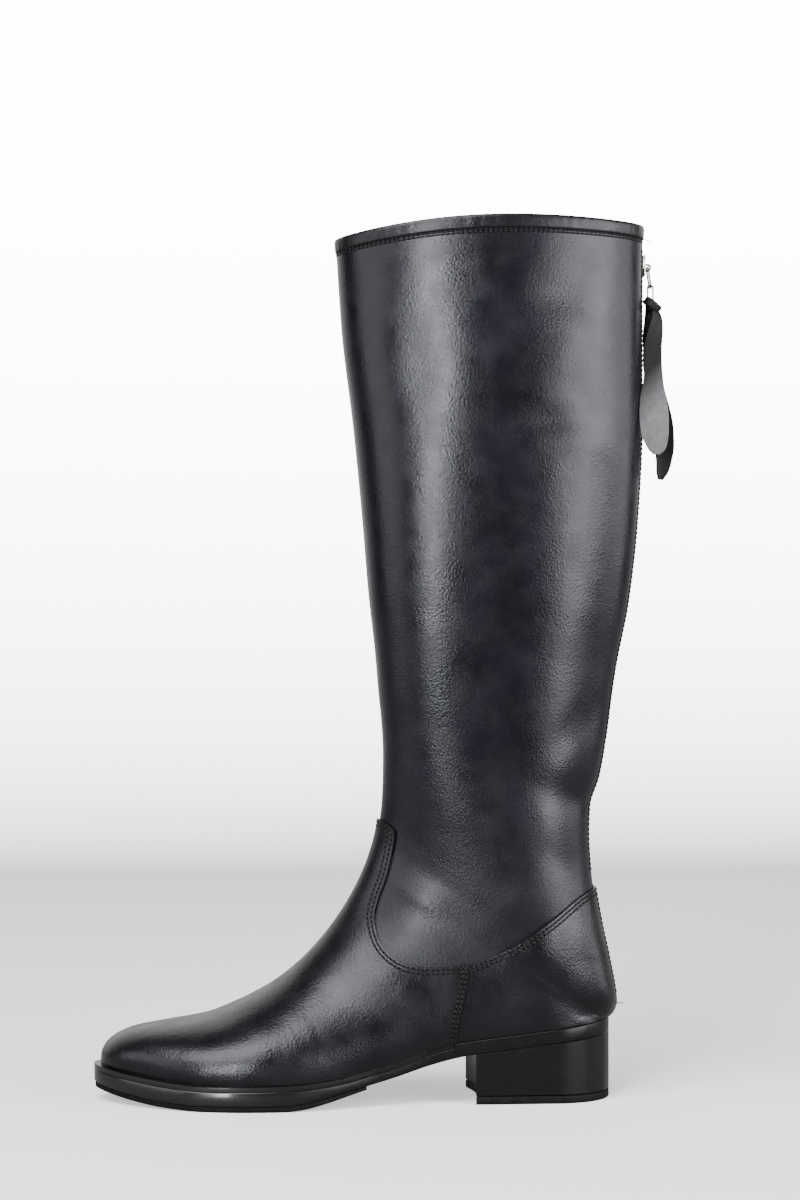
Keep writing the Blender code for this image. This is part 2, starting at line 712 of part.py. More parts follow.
def make_ring(name, top, bottom, across, origin, material):
    """A wire ring with round corners. Its bars pass through top and bottom, its rods lie across from them."""
    along = (bottom - top).normalized()
    side = across.normalized()
    bend = RING_BEND * MM
    places = []
    corners = ((top, 1, -1), (top, -1, -1), (bottom, -1, 1), (bottom, 1, 1))
    for k, (bar, hand, end) in enumerate(corners):
        middle = bar + side * hand * (across.length - bend) - along * end * bend
        for i in range(RING_BEND_STEPS + 1):
            angle = math.pi / 2 * i / RING_BEND_STEPS
            turn = angle if k % 2 == 0 else math.pi / 2 - angle
            places.append(middle + (side * hand * math.cos(turn) + along * end * math.sin(turn)) * bend)
    curve = bpy.data.curves.new(name, "CURVE")
    curve.dimensions = "3D"
    curve.bevel_depth = WIRE * MM
    curve.bevel_resolution = 2
    spline = curve.splines.new("POLY")
    spline.points.add(len(places) - 1)
    for made, place in zip(spline.points, places):
        made.co = (*(place - origin), 1.0)
    spline.use_cyclic_u = True
    curve.materials.append(material)
    ring = bpy.data.objects.new(name, curve)
    ring.location = origin
    ring.parent = boot
    boot_parts.objects.link(ring)


def turned(angle):
    """The way across, turned about the upright by the angle."""
    return Vector((math.cos(angle), math.sin(angle), 0.0))


def make_pull():
    """The slider, its two rings and the leather tab."""
    nickel = make_finish("nickel", (0.62, 0.6, 0.56), 0.28, 1.0)
    make_slider(nickel)
    hinge, link = hinge_point(), link_point()
    make_ring("zip_pull", hinge, link, Vector((0.0, RING_HALF, 0.0)) * MM, hinge, nickel)
    link_top = link + Vector((0.0, 0.0, 2 * WIRE + GAP)) * MM
    link_bottom = link_top - Vector((0.0, 0.0, LINK_LENGTH)) * MM
    make_ring("pull_link", link_top, link_bottom, turned(LINK_TURN) * LINK_HALF * MM, link, nickel)
    make_tab(link_bottom)


def petal_rows(petal, side):
    """Rows of one petal from the fold down: down, across, half width and out."""
    length = petal.rows[-1][0]
    downs = [length * i / PETAL_STEPS for i in range(PETAL_STEPS + 1)]
    rows = [[petal.read(name, down, "down") for name in petal.columns] for down in downs]
    return [(down, side * apart, half, out) for down, apart, half, out in rows]


def make_tab(fold):
    """The leather tab: one strap folded over the link, with a petal on each side."""
    _, radius, half_width, _ = TAB_FOLD
    rows = petal_rows(NEAR_PETAL, -1)[::-1]
    for i in range(1, FOLD_STEPS):
        angle = math.pi * i / FOLD_STEPS
        rows.append((-radius * math.sin(angle), -radius * math.cos(angle), half_width, 0.0))
    rows += petal_rows(FAR_PETAL, 1)
    bm = bmesh.new()
    lines = []
    for down, across, half, out in rows:
        twist = LINK_TURN * min(1.0, max(0.0, 1.0 - down / TAB_TWIST))
        middle = fold + (Vector((out, 0.0, -down)) + turned(twist + math.pi / 2) * across) * MM
        wide = turned(twist) * half * MM
        lines.append([bm.verts.new(middle + wide * k) for k in (-1.0, 0.0, 1.0)])
    for lower, upper in zip(lines, lines[1:]):
        for i in range(2):
            bm.faces.new((lower[i], lower[i + 1], upper[i + 1], upper[i]))
    bmesh.ops.recalc_face_normals(bm, faces=bm.faces)
    leather = make_finish("tab_leather", (0.02, 0.02, 0.021), 0.5)
    thicken(add_piece("pull_tab", bm, leather, origin=link_point()), TAB_THICK, 0)


def centre_boot():
    """Moves the boot so that the origin is under the middle of its box."""
    bpy.context.view_layer.update()
    shown = bpy.context.evaluated_depsgraph_get()
    corners = []
    for piece in boot_parts.objects:
        if piece != boot:
            made = piece.evaluated_get(shown)
            corners += [made.matrix_world @ vert.co for vert in made.to_mesh().vertices]
    low, high = ([pick(corner[k] for corner in corners) for k in range(3)] for pick in (min, max))
    boot.location = (-(low[0] + high[0]) / 2, -(low[1] + high[1]) / 2, -low[2])


for old in list(bpy.data.objects):
    bpy.data.objects.remove(old)
boot_parts = bpy.data.collections.new("leather_boot")
cutters = bpy.data.collections.new("cutters")
bpy.context.scene.collection.children.link(boot_parts)
bpy.context.scene.collection.children.link(cutters)
boot = bpy.data.objects.new("boot", None)
boot_parts.objects.link(boot)

make_upper()
make_vamp()
make_counter()
make_sole()
make_zip()
make_pull()
centre_boot()
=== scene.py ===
"""The look of a tall black leather boot with a block heel and a zip up the back.

Sizes are in millimetres. "Ahead" is measured from the back of the heel towards the toe, "up" from the floor,
"side" from the middle, with the outer side, which the photograph shows, negative.
"""
import math

import bpy
from mathutils import Matrix, Vector


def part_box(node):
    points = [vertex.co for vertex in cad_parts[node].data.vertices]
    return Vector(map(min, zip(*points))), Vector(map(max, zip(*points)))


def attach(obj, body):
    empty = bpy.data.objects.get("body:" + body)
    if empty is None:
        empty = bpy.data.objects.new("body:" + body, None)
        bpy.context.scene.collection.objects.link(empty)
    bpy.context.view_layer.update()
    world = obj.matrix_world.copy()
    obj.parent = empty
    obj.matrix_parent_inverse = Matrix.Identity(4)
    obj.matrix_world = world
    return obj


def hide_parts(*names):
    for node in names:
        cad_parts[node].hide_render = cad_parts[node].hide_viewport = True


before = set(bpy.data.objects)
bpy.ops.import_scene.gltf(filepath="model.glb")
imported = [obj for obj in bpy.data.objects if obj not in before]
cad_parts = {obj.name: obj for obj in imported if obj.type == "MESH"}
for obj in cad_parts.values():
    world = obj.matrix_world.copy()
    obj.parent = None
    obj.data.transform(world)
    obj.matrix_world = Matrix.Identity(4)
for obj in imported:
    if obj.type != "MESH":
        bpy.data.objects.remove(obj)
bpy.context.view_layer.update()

MM = 0.001

# Driving sizes, in millimetres
SOLE_BACK = 4.2
SOLE_TIP = 270.0
BALL_HALF = 46.0
HEEL_HALF = 29.5
WAIST_HALF = 27.0
WALL = 2.0
OVERLAY = 1.2
GAP = 0.3
SEAT_GAP = 0.5
WELT_THICK = 2.0
WELT_BACK = 87.0
INSOLE_THICK = 3.0
HALF_SOLE_BACK = 132.0
HEEL_BREAST = 76.0
BREAST_HOLLOW = 3.5
HEEL_TIP_THICK = 4.0
SLIT_HALF = 4.5
TOPLINE_LIFT_SKEW = 1.2

# Where the sole's gloss begins and is full, ahead of the heel, and where the shaft begins to be dull and is
# dullest, up from the floor
GLOSS_FADE = (145.0, 195.0)
ANKLE_DULL = (175.0, 118.0)

# How far each piece's outline stays inside the sole's: at the heel, at the toe, and as a share of its width
UPPER_INSET = (1.8, 4.7, 0.93)
INSOLE_INSET = (5.4, 10.5, 0.83)
WELT_INNER_INSET = (1.8, 8.6, 0.86)
HALF_SOLE_INSET = (0.0, 0.6, 0.985)
NO_INSET = (0.0, 0.0, 1.0)

# Zip sizes, in millimetres
ZIP_LOW = 55.0
ZIP_HIGH = 448.0
TAPE_HALF = 3.3
TAPE_DEPTHS = (1.1, 1.9)
TEETH_HALF = 2.4
TEETH_DEPTHS = (-0.4, 0.8)
SLIDER_TOP = 435.5
SLIDER_BOTTOM = 424.5
SLIDER_HALF = 3.7
SLIDER_PLATE = 1.2
SLIDER_FLANGE = 0.9
BRIDGE_HALF = 1.2
BRIDGE_EYE = 1.2
BRIDGE_WALL = 0.9
BRIDGE_DROP = 1.0
WIRE = 0.48
RING_LENGTH = 10.5
RING_HALF = 3.0
RING_LEAN = 0.16
LINK_LENGTH = 10.5
LINK_HALF = 2.1
LINK_TURN = 0.7
TAB_THICK = 1.4
TAB_TWIST = 22.0
RING_BEND = 1.2


class Table:
    """Rows of numbers under named columns, read between rows by a cubic that never overshoots."""

    def __init__(self, columns, rows):
        self.columns = columns.split()
        self.rows = rows

    def column(self, name):
        index = self.columns.index(name)
        return [row[index] for row in self.rows]

    def read(self, name, place, key=None):
        values = self.column(name)
        keys = self.column(key) if key else list(range(len(values)))
        place = min(max(place, keys[0]), keys[-1])
        low = max(i for i in range(len(keys) - 1) if keys[i] <= place or i == 0)
        step = keys[low + 1] - keys[low]
        t = (place - keys[low]) / step
        start, end = (self.slope(keys, values, i) * step for i in (low, low + 1))
        rise = values[low + 1] - values[low]
        return values[low] + t * (start + t * (3 * rise - 2 * start - end + t * (start + end - 2 * rise)))

    @staticmethod
    def slope(keys, values, i):
        slopes = [
            (values[k + 1] - values[k]) / (keys[k + 1] - keys[k])
            for k in (i - 1, i)
            if 0 <= k < len(keys) - 1
        ]
        if len(slopes) == 1:
            return slopes[0]
        before, after = slopes
        if before * after <= 0:
            return 0.0
        return 2 * before * after / (before + after)


# Plan of the sole. The square of the half width is what runs smoothly, so that both ends come out round.
PLAN = Table(
    "ahead half centre",
    [
        (SOLE_BACK, 0.0, 0.0),
        (10.0, 17.6, 0.0),
        (20.0, 26.2, 0.0),
        (34.0, HEEL_HALF, 0.0),
        (62.0, 29.0, -0.6),
        (95.0, WAIST_HALF, -2.4),
        (125.0, 31.0, -3.4),
        (155.0, 39.6, -3.2),
        (178.0, 44.8, -1.8),
        (198.0, BALL_HALF, 0.0),
        (216.0, 44.2, 2.0),
        (234.0, 38.0, 4.0),
        (250.0, 28.6, 5.6),
        (262.0, 17.8, 6.4),
        (SOLE_TIP, 0.0, 6.6),
    ],
)
PLAN_SQUARES = Table("ahead square", [(ahead, half * half) for ahead, half, centre in PLAN.rows])

# Side view of the sole: the feather line where the upper stands, and the outsole's underside
SIDE = Table(
    "ahead feather underside rubber",
    [
        (SOLE_BACK, 41.8, 34.4, 2.8),
        (30.0, 38.55, 31.15, 2.8),
        (56.0, 35.3, 27.9, 2.8),
        (79.0, 32.42, 25.02, 2.8),
        (88.0, 31.0, 23.2, 2.8),
        (101.0, 27.6, 19.8, 2.8),
        (116.0, 22.6, 15.2, 2.0),
        (132.0, 18.5, 11.0, 1.8),
        (142.0, 16.2, 8.6, 2.2),
        (153.0, 14.5, 6.1, 2.8),
        (164.0, 13.5, 3.9, 3.0),
        (174.0, 13.1, 3.0, 3.0),
        (195.0, 12.8, 3.0, 3.0),
        (214.0, 12.7, 3.0, 3.0),
        (234.0, 14.0, 4.0, 3.0),
        (252.0, 15.9, 6.3, 3.0),
        (SOLE_TIP, 18.6, 9.8, 3.0),
    ],
)

# The upper, a row for each section from the toe over the instep and up the shaft. A section runs from the
# back, on the feather line or the back line, to the front, on the ridge of the vamp or the shin.
HEEL_ROW = 16
SLIT_ROW = 17
SLIT_END = 0.2
BAND_ROW = 30
UPPER = Table(
    "front_ahead front_up back_ahead back_up half_width widest front_power back_power ridge lift",
    [
        (265.3, 18.4, 264.4, 18.2, 6.0, 0.20, 2.0, 2.0, 6.5, 0.0),
        (264.9, 23.2, 262.6, 18.0, 10.6, 0.25, 2.2, 2.0, 6.5, 0.0),
        (263.2, 27.0, 258.6, 17.5, 16.6, 0.28, 2.3, 2.0, 6.5, 0.0),
        (258.4, 31.2, 252.0, 16.4, 23.0, 0.30, 2.3, 2.0, 6.5, 0.0),
        (248.5, 35.2, 242.5, 15.0, 29.8, 0.30, 2.3, 2.0, 6.4, 0.0),
        (232.0, 38.1, 229.0, 13.6, 37.6, 0.28, 2.25, 2.0, 6.2, 0.0),
        (212.0, 41.6, 211.0, 12.7, 43.4, 0.26, 2.15, 2.0, 6.0, 0.0),
        (193.0, 49.6, 190.0, 12.8, 44.8, 0.25, 2.0, 2.0, 5.6, 0.0),
        (177.0, 58.3, 168.0, 13.3, 42.6, 0.24, 1.9, 2.0, 5.0, 0.0),
        (163.5, 69.3, 145.0, 15.6, 38.4, 0.24, 1.8, 2.0, 4.4, 0.0),
        (152.3, 81.0, 120.0, 21.6, 34.6, 0.25, 1.75, 2.0, 3.8, 0.0),
        (144.6, 91.1, 95.0, 29.3, 32.6, 0.27, 1.75, 2.0, 3.2, 0.0),
        (138.6, 100.4, 68.0, 33.8, 31.6, 0.30, 1.8, 2.1, 2.6, 0.0),
        (134.4, 108.2, 42.0, 37.0, 31.2, 0.33, 1.85, 2.25, 2.0, 0.0),
        (131.0, 115.3, 21.0, 39.7, 30.8, 0.36, 1.9, 2.35, 1.6, 0.0),
        (128.8, 120.8, 10.0, 41.1, 30.6, 0.38, 1.95, 2.5, 1.2, 0.0),
        (127.2, 125.6, 6.0, 41.6, 30.4, 0.39, 1.95, 2.6, 1.0, 0.0),
        (125.2, 132.2, 1.6, 49.0, 30.4, 0.40, 1.95, 2.65, 0.7, 0.0),
        (123.4, 141.0, 4.6, 67.0, 30.6, 0.41, 2.0, 2.6, 0.4, 0.0),
        (122.0, 153.0, 9.8, 91.0, 30.8, 0.42, 2.15, 2.45, 0.2, 0.0),
        (121.5, 165.0, 13.4, 114.0, 31.4, 0.43, 2.3, 2.3, 0.0, 0.0),
        (121.4, 178.0, 15.0, 136.0, 31.8, 0.44, 2.5, 2.2, 0.0, 0.0),
        (121.8, 188.0, 14.4, 150.0, 32.2, 0.45, 2.6, 2.1, 0.0, 0.0),
        (122.6, 198.0, 9.6, 165.0, 33.0, 0.45, 2.7, 2.1, 0.0, 0.0),
        (123.8, 210.0, 5.6, 187.0, 34.2, 0.45, 2.75, 2.1, 0.0, 0.0),
        (125.6, 231.0, 0.8, 221.0, 36.0, 0.46, 2.75, 2.1, 0.0, 0.0),
        (128.8, 259.0, -6.0, 256.0, 38.0, 0.46, 2.7, 2.1, 0.0, 0.0),
        (132.2, 299.0, -10.8, 299.0, 40.0, 0.46, 2.55, 2.1, 0.0, 0.0),
        (136.8, 345.0, -13.0, 345.0, 41.3, 0.46, 2.35, 2.1, 0.0, 0.0),
        (142.8, 394.0, -13.0, 395.0, 41.5, 0.46, 2.15, 2.1, 0.0, 1.5),
        (145.6, 435.2, -13.2, 443.0, 41.0, 0.46, 2.0, 2.1, 0.0, 5.2),
        (145.9, 441.7, -13.4, 449.5, 41.0, 0.46, 2.0, 2.1, 0.0, 5.5),
    ],
)
TOP_ROW = len(UPPER.rows) - 1
OVERLAY_TOP_ROW = 21
COUNTER_ROW = 10
# How closely a height is found among the rows, and the rows apart that its slope is taken from
BACK_LINE_CLOSE = 1e-9
BACK_LINE_STEP = 0.02
# The most that a section's open edges stand apart, as a share of its width
EDGE_LIMIT = 0.99

# Seams seen from the side, in order, as points ahead of the heel and up from the floor
VAMP_SEAM = (
    (79.0, 71.2),
    (95.3, 70.1),
    (107.0, 70.6),
    (116.5, 74.0),
    (124.0, 81.5),
    (127.0, 93.0),
    (125.3, 102.5),
    (120.6, 115.6),
    (116.9, 132.7),
    (117.6, 139.2),
    (124.5, 143.8),
)
SIDE_SEAM = ((85.6, 34.0), (84.1, 45.1), (81.5, 56.8), (79.0, 71.2))
COUNTER_SEAM = ((79.0, 71.2), (58.0, 80.0), (38.4, 92.5), (22.6, 104.0), (11.7, 108.5))
SEAM_LIFT = 0.05
CUT_REACH = 60.0
CUT_MARGIN = 30.0
TONGUE_MARGIN = 15.0
COUNTER_MARGIN = 8.0

# The pull tab is one strap folded over the link. For its near and far petals: the distance down from the
# fold, how far the strap stands from the boot's middle, its half width, and how far it is out from the fold.
TAB_COLUMNS = "down apart half out"
TAB_FOLD = (0.0, 1.8, 1.15, 0.0)
NEAR_PETAL = Table(
    TAB_COLUMNS,
    [
        TAB_FOLD,
        (6.5, 2.6, 3.2, 1.6),
        (17.8, 3.4, 4.4, 0.9),
        (29.3, 5.4, 4.5, 0.5),
        (39.6, 8.6, 5.1, 0.1),
        (49.0, 12.4, 6.7, -0.5),
        (58.3, 14.6, 7.5, -0.4),
        (67.2, 15.2, 7.0, -0.1),
        (75.2, 15.0, 4.4, 0.8),
        (77.9, 14.9, 1.2, 0.9),
    ],
)
FAR_PETAL = Table(
    TAB_COLUMNS,
    [
        TAB_FOLD,
        (6.5, 2.4, 3.2, 1.4),
        (17.8, 2.2, 4.2, 0.9),
        (30.0, 2.0, 4.2, 0.8),
        (43.3, 1.8, 4.4, 3.4),
        (52.0, 1.7, 4.7, 5.6),
        (63.4, 1.6, 5.1, 7.4),
        (72.9, 1.5, 5.0, 7.8),
        (81.4, 1.4, 3.9, 7.4),
        (86.2, 1.3, 3.1, 6.6),
        (90.4, 1.2, 0.9, 5.6),
    ],
)


def feather(ahead):
    """Height of the feather line."""
    return SIDE.read("feather", ahead, "ahead")


def underside(ahead):
    """Height of the outsole's underside."""
    return SIDE.read("underside", ahead, "ahead")


def outsole_top(ahead):
    """Height of the outsole's upper face, which steps down for the welt."""
    top = feather(ahead) - SEAT_GAP
    if ahead > WELT_BACK:
        top -= WELT_THICK + GAP
    return top


def plan(share, inset):
    """Ahead, half width and centre of an inset outline, at a share of its length from back to tip."""
    heel_inset, toe_inset, width = inset
    length = SOLE_TIP - SOLE_BACK
    ahead = SOLE_BACK + heel_inset + share * (length - heel_inset - toe_inset)
    place = SOLE_BACK + share * length
    half = math.sqrt(max(PLAN_SQUARES.read("square", place, "ahead"), 0.0)) * width
    return ahead, half, PLAN.read("centre", place, "ahead")


def plan_share(ahead, inset):
    """The share of an inset outline's length that lies behind a place."""
    heel_inset, toe_inset, _ = inset
    length = SOLE_TIP - SOLE_BACK - heel_inset - toe_inset
    return min(max((ahead - SOLE_BACK - heel_inset) / length, 0.0), 1.0)


def eased(start, end, count):
    """Shares from start to end, closer together towards 0 and 1, where outlines turn."""
    first, last = (math.acos(1 - 2 * share) for share in (start, end))
    angles = [first + (last - first) * i / count for i in range(count + 1)]
    return [(1 - math.cos(angle)) / 2 for angle in angles]


def smooth_line(points, steps):
    """Points along a smooth curve through the given ones."""
    line = []
    count = len(points)
    for i in range(count - 1):
        before, start, end, after = (points[min(max(i + k, 0), count - 1)] for k in (-1, 0, 1, 2))
        for step in range(steps):
            t = step / steps
            line.append(tuple(
                0.5 * (2 * b + (c - a) * t + (2 * a - 5 * b + 4 * c - d) * t * t
                       + (3 * b - a - 3 * c + d) * t ** 3)
                for a, b, c, d in zip(before, start, end, after)
            ))
    return line + [points[-1]]


def half_sole_low(ahead):
    """Height of the half sole's underside."""
    return underside(ahead) - SIDE.read("rubber", ahead, "ahead")


def half_sole_high(ahead):
    """Height of the half sole's upper face."""
    return underside(ahead) - GAP


def insole_low(ahead):
    """Height of the insole's underside, which fills the step behind the welt."""
    return outsole_top(ahead) + GAP


def insole_high(ahead):
    """Height of the insole's upper face."""
    return feather(ahead) - SEAT_GAP + INSOLE_THICK


def back_line(up):
    """Where the back of the upper is at a height, and the way out from it, both seen from the side."""
    low, high = SLIT_ROW, TOP_ROW
    while high - low > BACK_LINE_CLOSE:
        middle = (low + high) / 2
        if UPPER.read("back_up", middle) < up:
            low = middle
        else:
            high = middle
    ahead = UPPER.read("back_ahead", low)
    below, above = low - BACK_LINE_STEP, low + BACK_LINE_STEP
    run = UPPER.read("back_ahead", above) - UPPER.read("back_ahead", below)
    rise = UPPER.read("back_up", above) - UPPER.read("back_up", below)
    return (ahead, up), Vector((-rise, run)).normalized()


# Where the boot's own sizes are measured from: a little behind the heel, and the middle of the zip
heel_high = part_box("heel_tip")[1]
tape_low, tape_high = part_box("zip_tape")
BACK = heel_high.x + SOLE_BACK * MM
MIDDLE = (tape_low.y + tape_high.y) / 2


def point(ahead, side, up):
    """A place on the boot."""
    return Vector((BACK - ahead * MM, MIDDLE + side * MM, up * MM))


def boot_sizes(place):
    """How far ahead, to the side and up a place is."""
    return (BACK - place.x) / MM, (place.y - MIDDLE) / MM, place.z / MM


# Tools of the bench

def only(piece):
    """Selects one piece and nothing else."""
    bpy.ops.object.select_all(action="DESELECT")
    piece.select_set(True)
    bpy.context.view_layer.objects.active = piece


def edit_all(piece):
    """Opens a piece with everything on it selected."""
    only(piece)
    bpy.ops.object.mode_set(mode="EDIT")
    bpy.ops.mesh.select_all(action="SELECT")


def close_edit():
    bpy.ops.object.mode_set(mode="OBJECT")


def merge(piece, distance=0.02):
    edit_all(piece)
    bpy.ops.mesh.remove_doubles(threshold=distance * MM)
    close_edit()


def outwards(piece):
    edit_all(piece)
    bpy.ops.mesh.normals_make_consistent(inside=False)
    close_edit()


def named(name):
    piece = bpy.context.object
    piece.name = name
    piece.data.name = name
    return piece


def grid_sheet(name, along, across, place):
    """A grid laid onto a shape: place gives the point for each row and column."""
    bpy.ops.object.select_all(action="DESELECT")
    bpy.ops.mesh.primitive_grid_add(x_subdivisions=across, y_subdivisions=along, size=1.0)
    sheet = named(name)
    for vert in sheet.data.vertices:
        row, column = divmod(vert.index, across + 1)
        vert.co = place(row, column)
    sheet.data.update()
    return sheet


def tube(name, rings, ends=True):
    """A closed skin through rings of points, with a face over both ends."""
    count = len(rings[0])
    skin = grid_sheet(name, len(rings) - 1, count, lambda row, column: rings[row][column % count])
    merge(skin, 0.0005)
    if ends:
        edit_all(skin)
        bpy.ops.mesh.select_all(action="DESELECT")
        bpy.ops.mesh.select_mode(type="EDGE")
        bpy.ops.mesh.select_non_manifold(extend=False)
        bpy.ops.mesh.edge_face_add()
        close_edit()
    outwards(skin)
    return skin


def apply(piece, modifier):
    only(piece)
    bpy.ops.object.modifier_apply(modifier=modifier.name)


def thicken(piece, thickness, side, inside=0):
    """Gives a sheet its thickness, outwards with side 1 and inwards with -1, and its inner face a slot."""
    solid = piece.modifiers.new("Thickness", "SOLIDIFY")
    solid.thickness = thickness * MM
    solid.offset = side
    solid.use_even_offset = True
    solid.material_offset = inside
    apply(piece, solid)


def round_edges(piece, width, segments=2, angle=40):
    bevel = piece.modifiers.new("Round", "BEVEL")
    bevel.width = width * MM
    bevel.segments = segments
    bevel.limit_method = "ANGLE"
    bevel.angle_limit = math.radians(angle)
    bevel.harden_normals = False
    apply(piece, bevel)


def push_out(piece, away):
    """Moves a sheet's surface outwards by what away gives at each place, in millimetres."""
    moves = [(vert, vert.normal.copy(), away(*boot_sizes(vert.co))) for vert in piece.data.vertices]
    for vert, normal, far in moves:
        vert.co += normal * far * MM
    piece.data.update()


def ease(piece, chosen, times):
    """Rubs a sheet smooth where chosen says so."""
    picks = [vert.index for vert in piece.data.vertices if chosen(*boot_sizes(vert.co))]
    edit_all(piece)
    bpy.ops.mesh.select_mode(type="VERT")
    bpy.ops.mesh.select_all(action="DESELECT")
    close_edit()
    for index in picks:
        piece.data.vertices[index].select = True
    bpy.ops.object.mode_set(mode="EDIT")
    bpy.ops.mesh.vertices_smooth(factor=0.5, repeat=times)
    close_edit()


def smooth(piece, angle=40):
    only(piece)
    bpy.ops.object.shade_smooth_by_angle(angle=math.radians(angle))


def finish_piece(piece, material, body="boot", replaces=()):
    """Gives a piece its material, body and slot, and says which solids it stands for."""
    for each in material if isinstance(material, (list, tuple)) else [material]:
        piece.data.materials.append(each)
    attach(piece, body)
    if replaces:
        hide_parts(*replaces)
    return piece


def seam_block(outline):
    """A block right across the boot with an outline seen from the side."""
    bpy.ops.object.select_all(action="DESELECT")
    bpy.ops.mesh.primitive_circle_add(vertices=len(outline), radius=1.0, fill_type="NGON")
    block = named("seam_block")
    for vert, (ahead, up) in zip(block.data.vertices, outline):
        vert.co = point(ahead, -CUT_REACH, up)
    edit_all(block)
    bpy.ops.mesh.extrude_region_move(TRANSFORM_OT_translate={"value": (0.0, 2 * CUT_REACH * MM, 0.0)})
    close_edit()
    outwards(block)
    return block


def trim(piece, outline):
    """Cuts a sheet to an outline seen from the side."""
    block = seam_block(outline)
    cut = piece.modifiers.new("Seam", "BOOLEAN")
    cut.operation = "INTERSECT"
    cut.object = block
    apply(piece, cut)
    bpy.data.objects.remove(block)


def copies(name, model, frames):
    """One mesh with a copy of a small model at each frame, which is a place and three ways."""
    corners = [vert.co.copy() for vert in model.data.vertices]
    faces = [tuple(face.vertices) for face in model.data.polygons]
    places, skins = [], []
    for origin, right, up, out in frames:
        first = len(places)
        places += [origin + right * c.x + up * c.y + out * c.z for c in corners]
        skins += [tuple(first + i for i in face) for face in faces]
    mesh = bpy.data.meshes.new(name)
    mesh.from_pydata(places, [], skins)
    mesh.shade_smooth()
    made = bpy.data.objects.new(name, mesh)
    bpy.context.scene.collection.objects.link(made)
    bpy.data.objects.remove(model)
    return made


def spaced(line, pitch):
    """Places along a line at an even pitch, each with the line's way there."""
    found = []
    due = pitch / 2
    for start, end in zip(line, line[1:]):
        run = end - start
        length = run.length
        while due <= length and length > 0:
            found.append((start + run * (due / length), run.normalized()))
            due += pitch
        due -= length
    return found


# The upper's shape

def fan(row):
    """The sizes of the upper's section at a row."""
    sizes = {name: UPPER.read(name, row) for name in UPPER.columns}
    half = sizes["half_width"]
    if row <= HEEL_ROW:
        sizes["back_up"] = feather(sizes["back_ahead"])
        _, edge, centre = plan(plan_share(sizes["back_ahead"], UPPER_INSET), UPPER_INSET)
    else:
        edge = SLIT_HALF * min(max((row - SLIT_ROW) / SLIT_END, 0.0), 1.0)
        centre = 0.0
    edge = min(edge, half * EDGE_LIMIT)
    start = math.acos((edge / half) ** (sizes["back_power"] / 2))
    behind = sizes["widest"] / math.sin(start) ** (2 / sizes["back_power"])
    sizes.update(edge=edge, centre=centre, start=start, behind=behind)
    return sizes


def fan_point(sizes, across):
    """A place on a section, with across -1 at the near edge, 0 at the front and 1 at the far edge."""
    turn = abs(across)
    angle = math.pi / 2 - turn * (math.pi / 2 + sizes["start"])
    widest = sizes["widest"]
    power = sizes["front_power"] if angle > 0 else sizes["back_power"]
    reach = abs(math.sin(angle)) ** (2 / power)
    along = widest + (1 - widest) * reach if angle > 0 else widest - sizes["behind"] * reach
    out = sizes["half_width"] * max(math.cos(angle), 0.0) ** (2 / power)
    if turn == 0:
        out = 0.0
    if turn == 1:
        along, out = 0.0, sizes["edge"]
    middle = sizes["centre"] + (sizes["ridge"] - sizes["centre"]) * along
    lift = sizes["lift"] * math.sin(math.pi * min(max(along, 0.0), 1.0) ** TOPLINE_LIFT_SKEW)
    return point(
        sizes["back_ahead"] + (sizes["front_ahead"] - sizes["back_ahead"]) * along,
        middle + math.copysign(out, across),
        sizes["back_up"] + (sizes["front_up"] - sizes["back_up"]) * along + lift,
    )


def fan_rows(first, last, pitch):
    """Rows from first to last, close enough for steps of about a pitch."""
    marks = sorted({first, last, *(m for m in [*range(TOP_ROW), SLIT_ROW + SLIT_END] if first < m < last)})
    rows = [first]
    for low, high in zip(marks, marks[1:]):
        reach = max(
            math.dist(*([UPPER.read(end + name, row) for name in ("_ahead", "_up")] for row in (low, high)))
            for end in ("front", "back")
        )
        steps = max(1, math.ceil(reach / pitch))
        rows += [low + (high - low) * (i + 1) / steps for i in range(steps)]
    return rows


def lasted_sheet(name, first, last, pitch, columns, away):
    """The upper's surface between two rows, moved out by what away gives."""
    rows = [fan(row) for row in fan_rows(first, last, pitch)]
    sheet = grid_sheet(name, len(rows) - 1, columns, lambda row, k: fan_point(rows[row], 1 - 2 * k / columns))
    merge(sheet)
    push_out(sheet, away)
    return sheet


# Finishes

def node(tree, kind, inputs=None, **settings):
    """A shader node with its settings, its inputs set to values or joined to outputs."""
    made = tree.nodes.new(kind)
    for name, value in settings.items():
        setattr(made, name, value)
    for name, value in (inputs or {}).items():
        if isinstance(value, bpy.types.NodeSocket):
            tree.links.new(value, made.inputs[name])
        else:
            made.inputs[name].default_value = value
    return made


def new_finish(name, **constants):
    """A material whose shader has these constants, with its tree, its shader and the place on the boot."""
    material = bpy.data.materials.new(name)
    material.use_nodes = True
    tree = material.node_tree
    shader = tree.nodes["Principled BSDF"]
    for socket, value in constants.items():
        shader.inputs[socket.replace("_", " ")].default_value = value
    place = node(tree, "ShaderNodeTexCoord").outputs["Object"]
    return material, tree, shader, place


def noise(tree, place, size, detail=2.0, stretch=None, roughness=0.5):
    """Soft random patches about as large as size, in millimetres."""
    if stretch:
        place = node(tree, "ShaderNodeMapping", {"Vector": place, "Scale": stretch}).outputs["Vector"]
    wanted = {"Vector": place, "Scale": 1.0 / (size * MM), "Detail": detail, "Roughness": roughness}
    return node(tree, "ShaderNodeTexNoise", wanted).outputs["Fac"]


def between(tree, value, low, high, to_low, to_high):
    """A value's range stretched to another one."""
    wanted = {"Value": value, "From Min": low, "From Max": high, "To Min": to_low, "To Max": to_high}
    return node(tree, "ShaderNodeMapRange", wanted).outputs["Result"]


